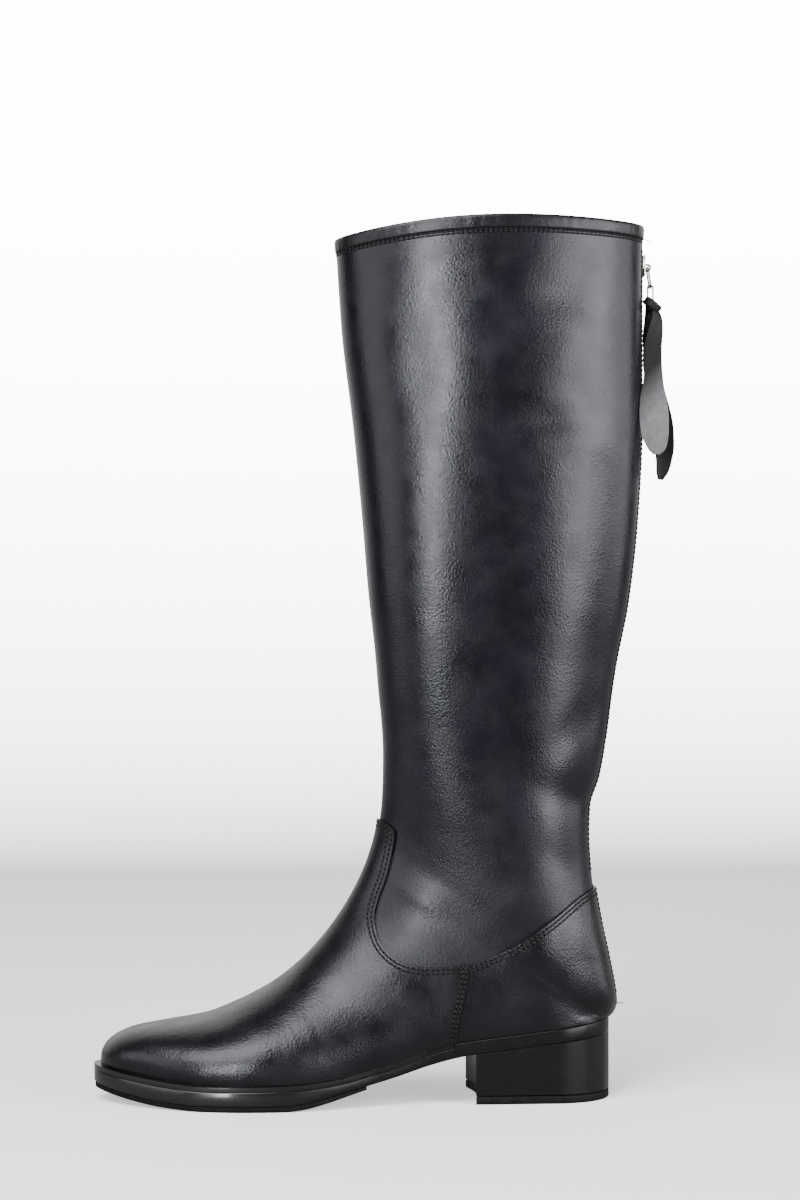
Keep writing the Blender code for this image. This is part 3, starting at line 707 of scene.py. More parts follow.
def tones(tree, value, *stops):
    """Colours along a value."""
    ramp = node(tree, "ShaderNodeValToRGB", {"Fac": value})
    while len(ramp.color_ramp.elements) < len(stops):
        ramp.color_ramp.elements.new(0.5)
    for element, (place, colour) in zip(ramp.color_ramp.elements, stops):
        element.position = place
        element.color = (*colour, 1.0)
    return ramp.outputs["Color"]


def relief(tree, height, depth, strength=1.0, under=None):
    """Relief of a depth in millimetres, over the relief under it."""
    wanted = {"Height": height, "Distance": depth * MM, "Strength": strength}
    if under:
        wanted["Normal"] = under
    return node(tree, "ShaderNodeBump", wanted).outputs["Normal"]


# Sizes of the leather's marks, in millimetres, and the cool tint of its sheen
PATCH_SIZE = 34.0
GLOSS_SIZE = 13.0
CREASE_SIZE = 3.0
CREASE_STRETCH = (0.35, 0.35, 1.6)
CREASE_DEPTH = 0.24
PEBBLE_SIZE = 1.15
PORE_SIZE = 0.55
PORE_DEPTH = 0.75
SHEEN_TINT = (0.92, 0.94, 1.0, 1.0)


def leather(name, dark, light, roughness, shine_level, lumps, dents, grain, dull=0.0):
    """Polished leather with patches of tone and gloss, dents, pebbles and pores, duller at the ankle."""
    material, tree, shader, place = new_finish(
        name, Coat_Weight=0.03, Coat_Roughness=0.2, Specular_IOR_Level=shine_level, Specular_Tint=SHEEN_TINT)
    patches = noise(tree, place, PATCH_SIZE, 3.0)
    tree.links.new(tones(tree, patches, (0.36, dark), (0.64, light)), shader.inputs["Base Color"])
    gloss = noise(tree, place, GLOSS_SIZE, 4.0)
    shine = between(tree, gloss, 0.3, 0.7, roughness - 0.05, roughness + 0.07)
    height = node(tree, "ShaderNodeSeparateXYZ", {"Vector": place}).outputs["Z"]
    ankle = between(tree, height, *[up * MM for up in ANKLE_DULL], 0.0, dull)
    shine = node(tree, "ShaderNodeMath", {0: shine, 1: ankle}, operation="ADD").outputs["Value"]
    tree.links.new(shine, shader.inputs["Roughness"])
    broad = relief(tree, noise(tree, place, lumps, 2.0), dents)
    lines = noise(tree, place, CREASE_SIZE, 3.0, CREASE_STRETCH)
    creases = relief(tree, lines, grain * CREASE_DEPTH, 1.0, broad)
    pebbles = node(tree, "ShaderNodeTexVoronoi", {"Vector": place, "Scale": 1.0 / (PEBBLE_SIZE * MM)})
    pebbled = relief(tree, pebbles.outputs["Distance"], grain, 1.0, creases)
    pores = relief(tree, noise(tree, place, PORE_SIZE, 2.0), grain * PORE_DEPTH, 1.0, pebbled)
    tree.links.new(pores, shader.inputs["Normal"])
    return material


def lining_leather():
    material, tree, shader, place = new_finish("lining", Roughness=0.7)
    patches = noise(tree, place, 18.0, 4.0)
    colour = tones(tree, patches, (0.35, (0.045, 0.043, 0.042)), (0.65, (0.075, 0.072, 0.07)))
    tree.links.new(colour, shader.inputs["Base Color"])
    tree.links.new(relief(tree, noise(tree, place, 0.8, 3.0), 0.1), shader.inputs["Normal"])
    return material


def edge_finish(name, tone, roughness, streak, coat, marked):
    """Painted and waxed edge, with fine marks along it and a gloss that fades out at the waist."""
    material, tree, shader, place = new_finish(name, Coat_Roughness=0.16, Specular_IOR_Level=0.13)
    lengthwise = node(tree, "ShaderNodeSeparateXYZ", {"Vector": place}).outputs["X"]
    ends = [point(ahead, 0.0, 0.0).x for ahead in GLOSS_FADE]
    tree.links.new(between(tree, lengthwise, *ends, 0.02, coat), shader.inputs["Coat Weight"])
    marks = noise(tree, place, 1.2, 3.0, streak)
    wear = noise(tree, place, 9.0, 4.0)
    light = tuple(part * 1.4 for part in tone)
    tree.links.new(tones(tree, wear, (0.45, tone), (0.75, light)), shader.inputs["Base Color"])
    shine = between(tree, marks, 0.3, 0.7, roughness - 0.06 * marked, roughness + 0.1 * marked)
    tree.links.new(shine, shader.inputs["Roughness"])
    waves = relief(tree, noise(tree, place, 16.0, 1.0), 0.12 * marked)
    tree.links.new(relief(tree, marks, 0.03 * marked, 1.0, waves), shader.inputs["Normal"])
    return material


def rubber_finish():
    material, tree, shader, place = new_finish("rubber", Specular_IOR_Level=0.06)
    dust = noise(tree, place, 6.0, 5.0)
    colour = tones(tree, dust, (0.42, (0.0018, 0.0018, 0.0018)), (0.72, (0.005, 0.0049, 0.0048)))
    tree.links.new(colour, shader.inputs["Base Color"])
    tree.links.new(between(tree, dust, 0.3, 0.7, 0.5, 0.75), shader.inputs["Roughness"])
    tree.links.new(relief(tree, noise(tree, place, 0.9, 3.0), 0.08), shader.inputs["Normal"])
    return material


def insole_leather():
    material, tree, shader, place = new_finish("insole_leather")
    patches = noise(tree, place, 22.0, 4.0)
    colour = tones(tree, patches, (0.35, (0.16, 0.105, 0.062)), (0.65, (0.24, 0.165, 0.105)))
    tree.links.new(colour, shader.inputs["Base Color"])
    tree.links.new(between(tree, patches, 0.3, 0.7, 0.55, 0.75), shader.inputs["Roughness"])
    tree.links.new(relief(tree, noise(tree, place, 0.7, 3.0), 0.08), shader.inputs["Normal"])
    return material


def tape_cloth():
    material, tree, shader, place = new_finish("tape_cloth", Roughness=0.85, Sheen_Weight=0.2)
    weave = node(tree, "ShaderNodeTexWave", {"Vector": place, "Scale": 900.0, "Distortion": 1.0},
                 bands_direction="Z")
    colour = tones(tree, weave.outputs["Fac"], (0.2, (0.006, 0.006, 0.007)), (0.9, (0.02, 0.02, 0.022)))
    tree.links.new(colour, shader.inputs["Base Color"])
    tree.links.new(relief(tree, weave.outputs["Fac"], 0.12), shader.inputs["Normal"])
    return material


def thread_finish():
    material, tree, shader, place = new_finish("thread", Roughness=0.5, Specular_IOR_Level=0.2)
    twist = noise(tree, place, 0.35, 2.0)
    colour = tones(tree, twist, (0.3, (0.002, 0.002, 0.0023)), (0.7, (0.007, 0.007, 0.0077)))
    tree.links.new(colour, shader.inputs["Base Color"])
    tree.links.new(relief(tree, twist, 0.08), shader.inputs["Normal"])
    return material


def stitch_shade_finish():
    """Near-black painted shade, standing for the shadow in the channel that a row of stitches lies in."""
    return new_finish("painted_stitch_shade", Base_Color=(0.0006, 0.0006, 0.0007, 1.0), Roughness=0.9,
                      Specular_IOR_Level=0.03)[0]


def metal_finish(name, tone, worn, roughness):
    material, tree, shader, place = new_finish(name, Metallic=1.0)
    wear = noise(tree, place, 2.4, 4.0)
    tree.links.new(tones(tree, wear, (0.35, tone), (0.7, worn)), shader.inputs["Base Color"])
    shine = between(tree, wear, 0.3, 0.7, roughness - 0.06, roughness + 0.12)
    tree.links.new(shine, shader.inputs["Roughness"])
    tree.links.new(relief(tree, noise(tree, place, 0.5, 2.0), 0.015), shader.inputs["Normal"])
    return material


# The painted highlight on the outer face of the tab's near petal: the height of its upper edge at the boot's
# back, how that edge slants, how far the painted highlight fades above and below it, and where across the
# boot it begins and is full
PAINTED_HIGHLIGHT_LINE = 349.0
PAINTED_HIGHLIGHT_SLANT = -1.1
PAINTED_HIGHLIGHT_FADE = (8.0, -16.0)
PAINTED_HIGHLIGHT_SIDE = (-5.0, -7.0)


def tab_leather():
    """Split leather: black, with a pale painted highlight on the lower half of the near petal's outer face.
    """
    material, tree, shader, place = new_finish("tab_leather", Specular_IOR_Level=0.12)
    ways = node(tree, "ShaderNodeSeparateXYZ", {"Vector": place}).outputs
    # Painted highlight: pale colour below a slanted line on the near petal's outer face, broken up by noise
    slant = node(tree, "ShaderNodeMath", {0: ways["X"], 1: PAINTED_HIGHLIGHT_SLANT, 2: ways["Z"]}, operation="MULTIPLY_ADD")
    line = BACK * PAINTED_HIGHLIGHT_SLANT + PAINTED_HIGHLIGHT_LINE * MM
    lower = between(tree, slant.outputs["Value"], *[line + fade * MM for fade in PAINTED_HIGHLIGHT_FADE], 0.0, 1.0)
    near = between(tree, ways["Y"], *[MIDDLE + side * MM for side in PAINTED_HIGHLIGHT_SIDE], 0.0, 1.0)
    shade = node(tree, "ShaderNodeMath", {0: lower, 1: near}, operation="MULTIPLY").outputs["Value"]
    ragged = noise(tree, place, 3.0, 4.0)
    highlight_mottle = between(tree, ragged, 0.3, 0.7, 0.72, 1.0)
    shade = node(tree, "ShaderNodeMath", {0: shade, 1: highlight_mottle}, operation="MULTIPLY").outputs["Value"]
    colour = tones(tree, shade, (0.0, (0.0035, 0.0035, 0.0038)), (1.0, (0.08, 0.081, 0.085)))
    tree.links.new(colour, shader.inputs["Base Color"])
    tree.links.new(between(tree, ragged, 0.3, 0.7, 0.5, 0.65), shader.inputs["Roughness"])
    fibres = relief(tree, noise(tree, place, 0.6, 3.0, (1.0, 1.0, 0.35)), 0.1)
    tree.links.new(fibres, shader.inputs["Normal"])
    return material


SHAFT_LEATHER = leather(
    "shaft_leather", dark=(0.0018, 0.0018, 0.0028), light=(0.0036, 0.0034, 0.0055), roughness=0.26,
    shine_level=0.2, lumps=24.0, dents=0.2, grain=0.065, dull=0.11)
FOOT_LEATHER = leather(
    "foot_leather", dark=(0.0017, 0.0017, 0.0021), light=(0.0036, 0.0036, 0.0044), roughness=0.28,
    shine_level=0.21, lumps=8.0, dents=0.17, grain=0.08)
BAND_LEATHER = leather(
    "band_leather", dark=(0.0018, 0.0018, 0.0022), light=(0.0038, 0.0037, 0.0045), roughness=0.31,
    shine_level=0.19, lumps=9.0, dents=0.2, grain=0.08)
LINING = lining_leather()
SOLE_EDGE = edge_finish(
    "sole_edge", tone=(0.002, 0.002, 0.002), roughness=0.3, streak=(0.2, 0.2, 2.0), coat=0.5, marked=0.5)
HEEL_EDGE = edge_finish(
    "heel_edge", tone=(0.002, 0.002, 0.0024), roughness=0.3, streak=(0.5, 0.5, 0.5), coat=0.02, marked=0.2)
RUBBER = rubber_finish()
INSOLE = insole_leather()
TAPE = tape_cloth()
THREAD = thread_finish()
STITCH_SHADE = stitch_shade_finish()
NICKEL = metal_finish("nickel", tone=(0.55, 0.52, 0.47), worn=(0.36, 0.33, 0.28), roughness=0.26)
RING_METAL = metal_finish("ring_metal", tone=(0.1, 0.098, 0.095), worn=(0.05, 0.05, 0.05), roughness=0.16)
TEETH_METAL = metal_finish("teeth_metal", tone=(0.42, 0.4, 0.36), worn=(0.2, 0.19, 0.17), roughness=0.36)
TAB_LEATHER = tab_leather()


# Soft folds of the worn leather: ahead, up, the way that they run in degrees, half length,
# half width, height, which is negative for a trough, and side
SHAFT_FOLDS = (
    (40.7, 347.4, 0, 18, 8, -0.9, -1),
    (34.6, 410.6, 10, 16, 10, -0.8, -1),
    (27.0, 383.0, 60, 15, 12, 0.6, -1),
    (19.5, 337.0, 30, 13, 9, 0.6, -1),
    (22.0, 194.0, -37, 24, 9, -0.6, -1),
    (27.0, 170.0, -37, 22, 11, 0.6, -1),
    (27.0, 120.0, 30, 18, 8, -0.6, -1),
    (49.8, 104.7, -30, 16, 10, 0.6, -1),
    (105.0, 104.0, 0, 15, 10, 1.0, -1),
    (104.0, 84.0, 10, 14, 7, 0.25, -1),
    (31.0, 143.0, 0, 17, 15, 0.9, -1),
    (106.0, 375.5, 90, 28, 15, -1.1, -1),
    (14.0, 391.0, 90, 42, 7, 0.45, -1),
    (30.0, 196.0, -32, 24, 10, -0.9, 1),
    (28.0, 172.0, -40, 20, 8, 0.9, 1),
    (24.0, 147.0, -18, 18, 8, -0.9, 1),
    (46.0, 352.0, 12, 20, 10, -0.8, 1),
    (96.0, 118.0, 70, 12, 9, 0.7, 1),
)
FOOT_FOLDS = (
    (171.0, 34.0, 72, 9, 1.7, -0.13, -1),
    (167.5, 36.0, 66, 8, 1.6, -0.12, -1),
    (175.0, 31.0, 78, 7, 1.6, -0.11, -1),
    (163.0, 33.0, 70, 8, 1.7, -0.12, -1),
    (179.5, 33.0, 80, 7, 1.6, -0.09, -1),
    (158.0, 40.0, 62, 9, 1.8, -0.1, -1),
    (178.0, 42.0, 28, 22, 5, -0.15, -1),
    (196.0, 38.0, 35, 18, 6, -0.15, -1),
    (186.0, 44.0, 30, 20, 6, 0.12, -1),
    (150.0, 60.0, 40, 22, 7, -0.4, -1),
    (170.0, 36.0, 68, 10, 1.8, -0.14, 1),
    (176.0, 33.0, 72, 9, 1.7, -0.12, 1),
    (180.0, 42.0, 28, 22, 5, -0.4, 1),
    (150.0, 60.0, 40, 22, 7, -0.6, 1),
)
COUNTER_FOLDS = (
    (46.0, 78.0, 75, 22, 15, 2.8, -1),
    (24.0, 84.0, 60, 10, 7, 0.35, -1),
    (46.0, 76.0, 75, 20, 11, 1.2, 1),
)


# How far from the middle a fold is at its full height, and where it ends, in its own half lengths and widths
FOLD_BLEND = 14.0
FOLD_REACH = 2.5


def folded(folds, base=0.0):
    """How far the leather stands out at a place, with its folds."""
    def away(ahead, side, up):
        rise = base
        for fold_ahead, fold_up, turn, length, width, height, hand in folds:
            shown = min(max(side * hand / FOLD_BLEND, 0.0), 1.0)
            if not shown:
                continue
            run, climb = ahead - fold_ahead, up - fold_up
            cos, sin = math.cos(math.radians(turn)), math.sin(math.radians(turn))
            along, across = (run * cos + climb * sin) / length, (climb * cos - run * sin) / width
            if abs(along) < FOLD_REACH and abs(across) < FOLD_REACH:
                rise += height * shown * math.exp(-along * along - across * across)
        return rise
    return away


# How finely the leather is drawn: millimetres from row to row, columns round it, and steps from point to
# point of a seam or along the feather line
SHAFT_PITCH = 2.6
SHAFT_COLUMNS = 132
OVERLAY_PITCH = 1.7
OVERLAY_COLUMNS = 110
SEAM_POINTS = 6
FEATHER_POINTS = 60


def make_shaft():
    shaft = lasted_sheet("shaft", 0, TOP_ROW, SHAFT_PITCH, SHAFT_COLUMNS, folded(SHAFT_FOLDS))
    thicken(shaft, WALL, -1, 1)
    smooth(shaft, 60)
    return finish_piece(shaft, [SHAFT_LEATHER, LINING], replaces=["upper"])


def feather_line(start, end):
    """The line just above the feather line, seen from the side."""
    places = [start + (end - start) * i / FEATHER_POINTS for i in range(FEATHER_POINTS + 1)]
    return [(ahead, feather(ahead) + SEAM_LIFT) for ahead in places]


def overlay(name, first, folds):
    """A sheet of leather over the upper from a row up to the ankle, thick, and not yet cut to its seams."""
    sheet = lasted_sheet(name, first, OVERLAY_TOP_ROW, OVERLAY_PITCH, OVERLAY_COLUMNS, folded(folds, GAP))
    thicken(sheet, OVERLAY, 1)
    return sheet


def make_vamp():
    vamp = overlay("vamp_leather", 0, FOOT_FOLDS)
    rise = (VAMP_SEAM[-1][0] + CUT_MARGIN, VAMP_SEAM[-1][1] + TONGUE_MARGIN)
    ahead = SOLE_TIP + CUT_MARGIN
    outline = smooth_line(VAMP_SEAM, SEAM_POINTS) + [rise, (ahead, rise[1])]
    outline += feather_line(ahead, SIDE_SEAM[0][0]) + smooth_line(SIDE_SEAM, SEAM_POINTS)[1:-1]
    trim(vamp, outline)
    smooth(vamp, 50)
    return finish_piece(vamp, FOOT_LEATHER, replaces=["vamp"])


# The corner over the heel that is rubbed smooth: behind this place, this far above the feather line, up to
# this height and this far from the slit
CORNER_AHEAD = 60.0
CORNER_LOW = 2.5
CORNER_HIGH = 74.0
CORNER_FROM_SLIT = 2.0
CORNER_RUBS = 12


def heel_corner(ahead, side, up):
    """Whether a place is on the corner over the heel."""
    behind = ahead < CORNER_AHEAD and feather(ahead) + CORNER_LOW < up < CORNER_HIGH
    return behind and abs(side) > SLIT_HALF + CORNER_FROM_SLIT


def make_counter():
    counter = overlay("counter_leather", COUNTER_ROW, COUNTER_FOLDS)
    outline = smooth_line(COUNTER_SEAM, SEAM_POINTS)
    outline[0] = (outline[0][0] - GAP, outline[0][1])
    outline += [(-CUT_MARGIN, COUNTER_SEAM[-1][1] + COUNTER_MARGIN)]
    outline += feather_line(-CUT_MARGIN, SIDE_SEAM[0][0] - GAP)
    outline += [(ahead - GAP, up) for ahead, up in smooth_line(SIDE_SEAM, SEAM_POINTS)[1:-1]]
    trim(counter, outline)
    ease(counter, heel_corner, CORNER_RUBS)
    smooth(counter, 50)
    return finish_piece(counter, FOOT_LEATHER, replaces=["counter"])


# The collar's binding in section, from its lower edge over the collar to the lining: share of its height,
# millimetres above the collar, and millimetres out from the leather's surface
BINDING = (
    (0.0, 0.0, 0.1), (0.02, 0.0, 0.5), (0.1, 0.0, 0.64), (0.3, 0.0, 0.72), (0.55, 0.0, 0.74),
    (0.78, 0.0, 0.7), (0.93, 0.0, 0.56), (1.0, 0.15, 0.25), (1.0, 0.4, -0.2), (1.0, 0.5, -1.0),
    (1.0, 0.4, -1.8), (1.0, 0.1, -2.4), (0.9, 0.0, -2.7), (0.6, 0.0, -2.8), (0.2, 0.0, -2.8),
    (0.03, 0.0, -2.5), (0.0, 0.0, -1.9),
)
BINDING_COLUMNS = 520
BINDING_STEP = 0.01
PUCKER_HEIGHT = 0.05
PUCKERED_FROM = 0.3


def pucker(column):
    """The small waves of the binding's sewing, stronger in some places than in others."""
    wave = math.sin(column * 0.83 + 2.1 * math.sin(column * 0.061))
    strength = 0.5 + 0.5 * math.sin(column * 0.117 + 1.0)
    return wave * strength * PUCKER_HEIGHT


def make_band():
    """The binding, folded over the collar."""
    levels = [(fan(BAND_ROW + (TOP_ROW - BAND_ROW) * share), above, out) for share, above, out in BINDING]
    rings = []
    for i in range(BINDING_COLUMNS + 1):
        across = 1 - 2 * i / BINDING_COLUMNS
        ring = []
        for sizes, above, out in levels:
            steps = (across + BINDING_STEP, across - BINDING_STEP)
            before, after = (fan_point(sizes, min(max(step, -1.0), 1.0)) for step in steps)
            way = after - before
            outward = Vector((way.y, -way.x, 0.0)).normalized()
            lift = Vector((0.0, 0.0, above * MM))
            far = out + (pucker(i) if out > PUCKERED_FROM else 0.0)
            ring.append(fan_point(sizes, across) + lift + outward * far * MM)
        rings.append(ring)
    band = tube("collar_band", rings)
    smooth(band, 60)
    return finish_piece(band, BAND_LEATHER, replaces=["top_band"])


# Steps round a sole layer's corner, and how often at least the corner goes into its half width or its height
LAYER_CORNER_STEPS = 3
LAYER_CORNER_LIMIT = 2.5


def layer_ring(ahead, half, centre, low, high, cut):
    """A cross-section of a sole layer with round corners."""
    cut = min(cut, half / LAYER_CORNER_LIMIT, (high - low) / LAYER_CORNER_LIMIT)
    ring = []
    for turn, (side, up) in enumerate(((-1, -1), (1, -1), (1, 1), (-1, 1))):
        middle = (side * (half - cut), (low + cut) if up < 0 else (high - cut))
        for i in range(LAYER_CORNER_STEPS + 1):
            angle = math.pi * (1 + turn / 2 + i / (2 * LAYER_CORNER_STEPS))
            ring.append((middle[0] + cut * math.cos(angle), middle[1] + cut * math.sin(angle)))
    return [point(ahead, centre + side, up) for side, up in ring]


def make_layer(name, shares, inset, low, high, cut):
    rings = []
    for share in shares:
        ahead, half, centre = plan(share, inset)
        rings.append(layer_ring(ahead, half, centre, low(ahead), high(ahead), cut))
    layer = tube(name, rings)
    smooth(layer, 45)
    return layer


# Leather layers are pressed together here, so that only a fine line is left between them
PRESSED = 0.26
# The ends of a layer as shares of its length, its steps behind and ahead of the welt's back end, the shares
# that it leaves free there, and its corners in millimetres
LAYER_BACK = 0.0002
LAYER_TIP = 0.9998
HEEL_STEPS = 40
FOREPART_STEPS = 90
SOCK_HEEL_STEPS = 24
SOCK_FOREPART_STEPS = 60
STEP_SHARE = 0.0004
SOCK_STEP_SHARE = 0.002
SOLE_CORNER = 0.7
THIN_CORNER = 0.5


def pressed(top):
    """A layer's upper face, pressed against the layer above."""
    return lambda ahead: top(ahead) + PRESSED


def make_soles():
    step = plan_share(WELT_BACK, NO_INSET)
    shares = eased(LAYER_BACK, step - STEP_SHARE, HEEL_STEPS)
    shares += eased(step + STEP_SHARE, LAYER_TIP, FOREPART_STEPS)
    outsole = make_layer("sole_leather", shares, NO_INSET, underside, pressed(outsole_top), SOLE_CORNER)
    finish_piece(outsole, SOLE_EDGE, replaces=["outsole"])
    shares = eased(plan_share(HALF_SOLE_BACK, HALF_SOLE_INSET), LAYER_TIP, FOREPART_STEPS)
    high = pressed(half_sole_high)
    rubber = make_layer("half_sole_rubber", shares, HALF_SOLE_INSET, half_sole_low, high, THIN_CORNER)
    finish_piece(rubber, RUBBER, replaces=["half_sole"])
    step = plan_share(WELT_BACK, INSOLE_INSET)
    shares = eased(LAYER_BACK, step - STEP_SHARE, SOCK_HEEL_STEPS)
    shares += eased(step + SOCK_STEP_SHARE, LAYER_TIP, SOCK_FOREPART_STEPS)
    sock = make_layer("sock_lining", shares, INSOLE_INSET, insole_low, insole_high, THIN_CORNER)
    finish_piece(sock, INSOLE, replaces=["insole"])


# The welt's steps along it and round its edge, how far its round edge draws in, as a share of its width, and
# how far it is pressed up, as a share of what other layers are
WELT_STEPS = 80
WELT_EDGE_STEPS = 4
WELT_EDGE = 0.004
WELT_PRESSED = 1.6


def make_welt():
    back = WELT_BACK + GAP
    shares = eased(plan_share(back, NO_INSET), 1.0, WELT_STEPS)
    rings = []
    for side in (-1, 1):
        for share in shares if side < 0 else reversed(shares[:-1]):
            outer, inner = (plan(share, inset) for inset in (NO_INSET, WELT_INNER_INSET))
            inner = (max(inner[0], back), *inner[1:])
            low = feather(outer[0]) - SEAT_GAP - WELT_THICK
            top = feather(outer[0]) - SEAT_GAP + WELT_PRESSED * PRESSED
            ring = []
            for k in range(WELT_EDGE_STEPS + 1):
                angle = math.pi * (k / WELT_EDGE_STEPS - 0.5)
                up = (top + low) / 2 + (top - low) / 2 * math.sin(angle)
                ring.append((1 - WELT_EDGE * (1 - math.cos(angle)), up))
            ring += [(0.0, top), (0.0, low)]
            places = []
            for share_out, up in ring:
                ahead, half, centre = (inner[k] + (outer[k] - inner[k]) * share_out for k in range(3))
                places.append(point(ahead, centre + side * half, up))
            rings.append(places)
    welt = tube("welt_strip", rings)
    smooth(welt, 45)
    finish_piece(welt, SOLE_EDGE, replaces=["welt"])


BREAST_STEPS = 16


def heel_rim(inset):
    """The heel's outline with its hollow breast, drawn in by an inset."""
    shares = eased(0.0, plan_share(HEEL_BREAST, NO_INSET), HEEL_STEPS)
    rim = []
    for side in (-1, 1):
        for share in reversed(shares) if side < 0 else shares[1:]:
            ahead, half, centre = plan(share, NO_INSET)
            rim.append((ahead, centre + side * half))
    near, far = rim[0][1], rim[-1][1]
    for i in range(1, BREAST_STEPS):
        bow = 1 - (2 * i / BREAST_STEPS - 1) ** 2
        rim.append((HEEL_BREAST - BREAST_HOLLOW * bow, far + (near - far) * i / BREAST_STEPS))
    middle = (SOLE_BACK + HEEL_BREAST) / 2
    long, wide = 1 - inset / (HEEL_BREAST - middle), 1 - inset / HEEL_HALF
    return [(middle + (ahead - middle) * long, side * wide) for ahead, side in rim]


def heel_piece(name, levels):
    """A piece of the heel from levels of an inset and a height, which may depend on the place."""
    rings = []
    for inset, height in levels:
        rings.append([point(ahead, side, height(ahead)) for ahead, side in heel_rim(inset)])
    piece = tube(name, rings)
    smooth(piece, 42)
    return piece


def make_heel():
    def level(up):
        return lambda ahead: up
    def under(drop):
        return lambda ahead: underside(ahead) - GAP + PRESSED - drop
    tip = heel_piece("heel_rubber", [
        (0.5, level(0.0)), (0.15, level(0.12)), (0.0, level(0.5)),
        (0.0, level(HEEL_TIP_THICK - 0.35)), (0.3, level(HEEL_TIP_THICK)),
    ])
    finish_piece(tip, RUBBER, replaces=["heel_tip"])
    block = heel_piece("heel_stack", [
        (0.35, level(HEEL_TIP_THICK + GAP)), (0.0, level(HEEL_TIP_THICK + GAP + 0.35)),
        (0.0, under(3.0)), (0.0, under(0.3)), (0.3, under(0.0)),
    ])
    finish_piece(block, HEEL_EDGE, replaces=["heel_block"])


def back_frame(up, side, depth):
    """A place on the zip with the ways across, up along it and out."""
    (ahead, height), out = back_line(up)
    outward = Vector((-out.x, 0.0, out.y))
    across = Vector((0.0, 1.0, 0.0))
    place = point(ahead, side, height) - outward * depth * MM
    return place, across, outward.cross(across), outward


# A tooth's length, width and height, how much narrower and lower its tip is, its rounding, and where it sits
TOOTH = (2.9, 1.1, 1.15)
TOOTH_TIP = (0.62, 0.8)
TOOTH_ROUND = 0.18
TOOTH_OFF_MIDDLE = 0.85
TOOTH_COUNT = 280
CHAIN_END = 1.0
TAPE_STEPS = 160


def make_tape():
    heights = [ZIP_LOW + (ZIP_HIGH - ZIP_LOW) * i / TAPE_STEPS for i in range(TAPE_STEPS + 1)]
    outer, inner = TAPE_DEPTHS
    corners = ((-TAPE_HALF, outer), (0.0, outer), (TAPE_HALF, outer), (TAPE_HALF, inner), (-TAPE_HALF, inner))
    tape = tube("zip_cloth", [[back_frame(up, side, depth)[0] for side, depth in corners] for up in heights])
    smooth(tape, 45)
    finish_piece(tape, TAPE, replaces=["zip_tape"])


def tooth_model():
    """One tooth, lying across the zip with its tip to the left."""
    bpy.ops.object.select_all(action="DESELECT")
    bpy.ops.mesh.primitive_cube_add(size=1.0)
    tooth = named("tooth")
    length, width, height = TOOTH
    for vert in tooth.data.vertices:
        vert.co = Vector((vert.co.x * length, vert.co.y * width, vert.co.z * height)) * MM
        if vert.co.x < 0:
            vert.co.y *= TOOTH_TIP[0]
            vert.co.z *= TOOTH_TIP[1]
    round_edges(tooth, TOOTH_ROUND, 1, 30)
    return tooth


def make_zip():
    make_tape()
    tooth = tooth_model()
    depth = (TEETH_DEPTHS[0] + TEETH_DEPTHS[1]) / 2
    frames = []
    for i in range(TOOTH_COUNT):
        up = ZIP_LOW + CHAIN_END + (ZIP_HIGH - ZIP_LOW - 2 * CHAIN_END) * i / (TOOTH_COUNT - 1)
        hand = 1 if i % 2 else -1
        place, across, along, out = back_frame(up, hand * TOOTH_OFF_MIDDLE, depth)
        frames.append((place, across * hand, along * hand, out))
    teeth = copies("zip_chain", tooth, frames)
    finish_piece(teeth, TEETH_METAL, replaces=["zip_teeth"])


def hinge_point():
    """Where the first ring hangs in the slider's bridge."""
    outer = TEETH_DEPTHS[0] - GAP - SLIDER_PLATE
    return back_frame((SLIDER_TOP + SLIDER_BOTTOM) / 2 - BRIDGE_DROP, 0.0, outer - BRIDGE_EYE)[0]


def link_point():
    """Where the second ring hangs in the first."""
    way = Vector((math.sin(RING_LEAN), 0.0, -math.cos(RING_LEAN)))
    return hinge_point() + way * RING_LENGTH * MM


def box_piece(name, low, high, rounding):
    """A block with rounded edges, from its lowest to its highest corner in millimetres."""
    bpy.ops.object.select_all(action="DESELECT")
    bpy.ops.mesh.primitive_cube_add(size=1.0)
    block = named(name)
    for vert in block.data.vertices:
        vert.co = Vector([a + (b - a) * (c + 0.5) for a, b, c in zip(low, high, vert.co)]) * MM
    round_edges(block, rounding, 2, 30)
    return block


# The slider's roundings and laps in millimetres, the taper of its plate towards its lower end, and the ends
# of its flanges as shares of its half length
PLATE_ROUND = 0.45
PLATE_TAPER = 0.24
FLANGE_ROUND = 0.3
FLANGE_LAP = 0.3
FLANGE_LOW = 0.3
FLANGE_HIGH = 0.9
BRIDGE_STEPS = 16
BRIDGE_FOOT = 1.7
# The bridge in section: shares of its half width, and of its half wall
BRIDGE_SECTION = ((-1.0, 0.0), (-0.7, 1.0), (0.7, 1.0), (1.0, 0.0), (0.7, -1.0), (-0.7, -1.0))


def slider_bridge(drop, rise):
    """The arch that the pull hangs in, about its own eye."""
    rings = []
    for i in range(BRIDGE_STEPS + 1):
        angle = math.pi * (i / BRIDGE_STEPS)
        foot = BRIDGE_FOOT if i in (0, BRIDGE_STEPS) else 0.0
        ring = []
        for side, wall in BRIDGE_SECTION:
            reach = BRIDGE_EYE + BRIDGE_WALL * (0.5 + 0.5 * wall)
            along, out = drop + reach * math.cos(angle), rise + reach * math.sin(angle) - foot
            ring.append(Vector((side * BRIDGE_HALF, along, out)) * MM)
        rings.append(ring)
    return tube("slider_bridge", rings)


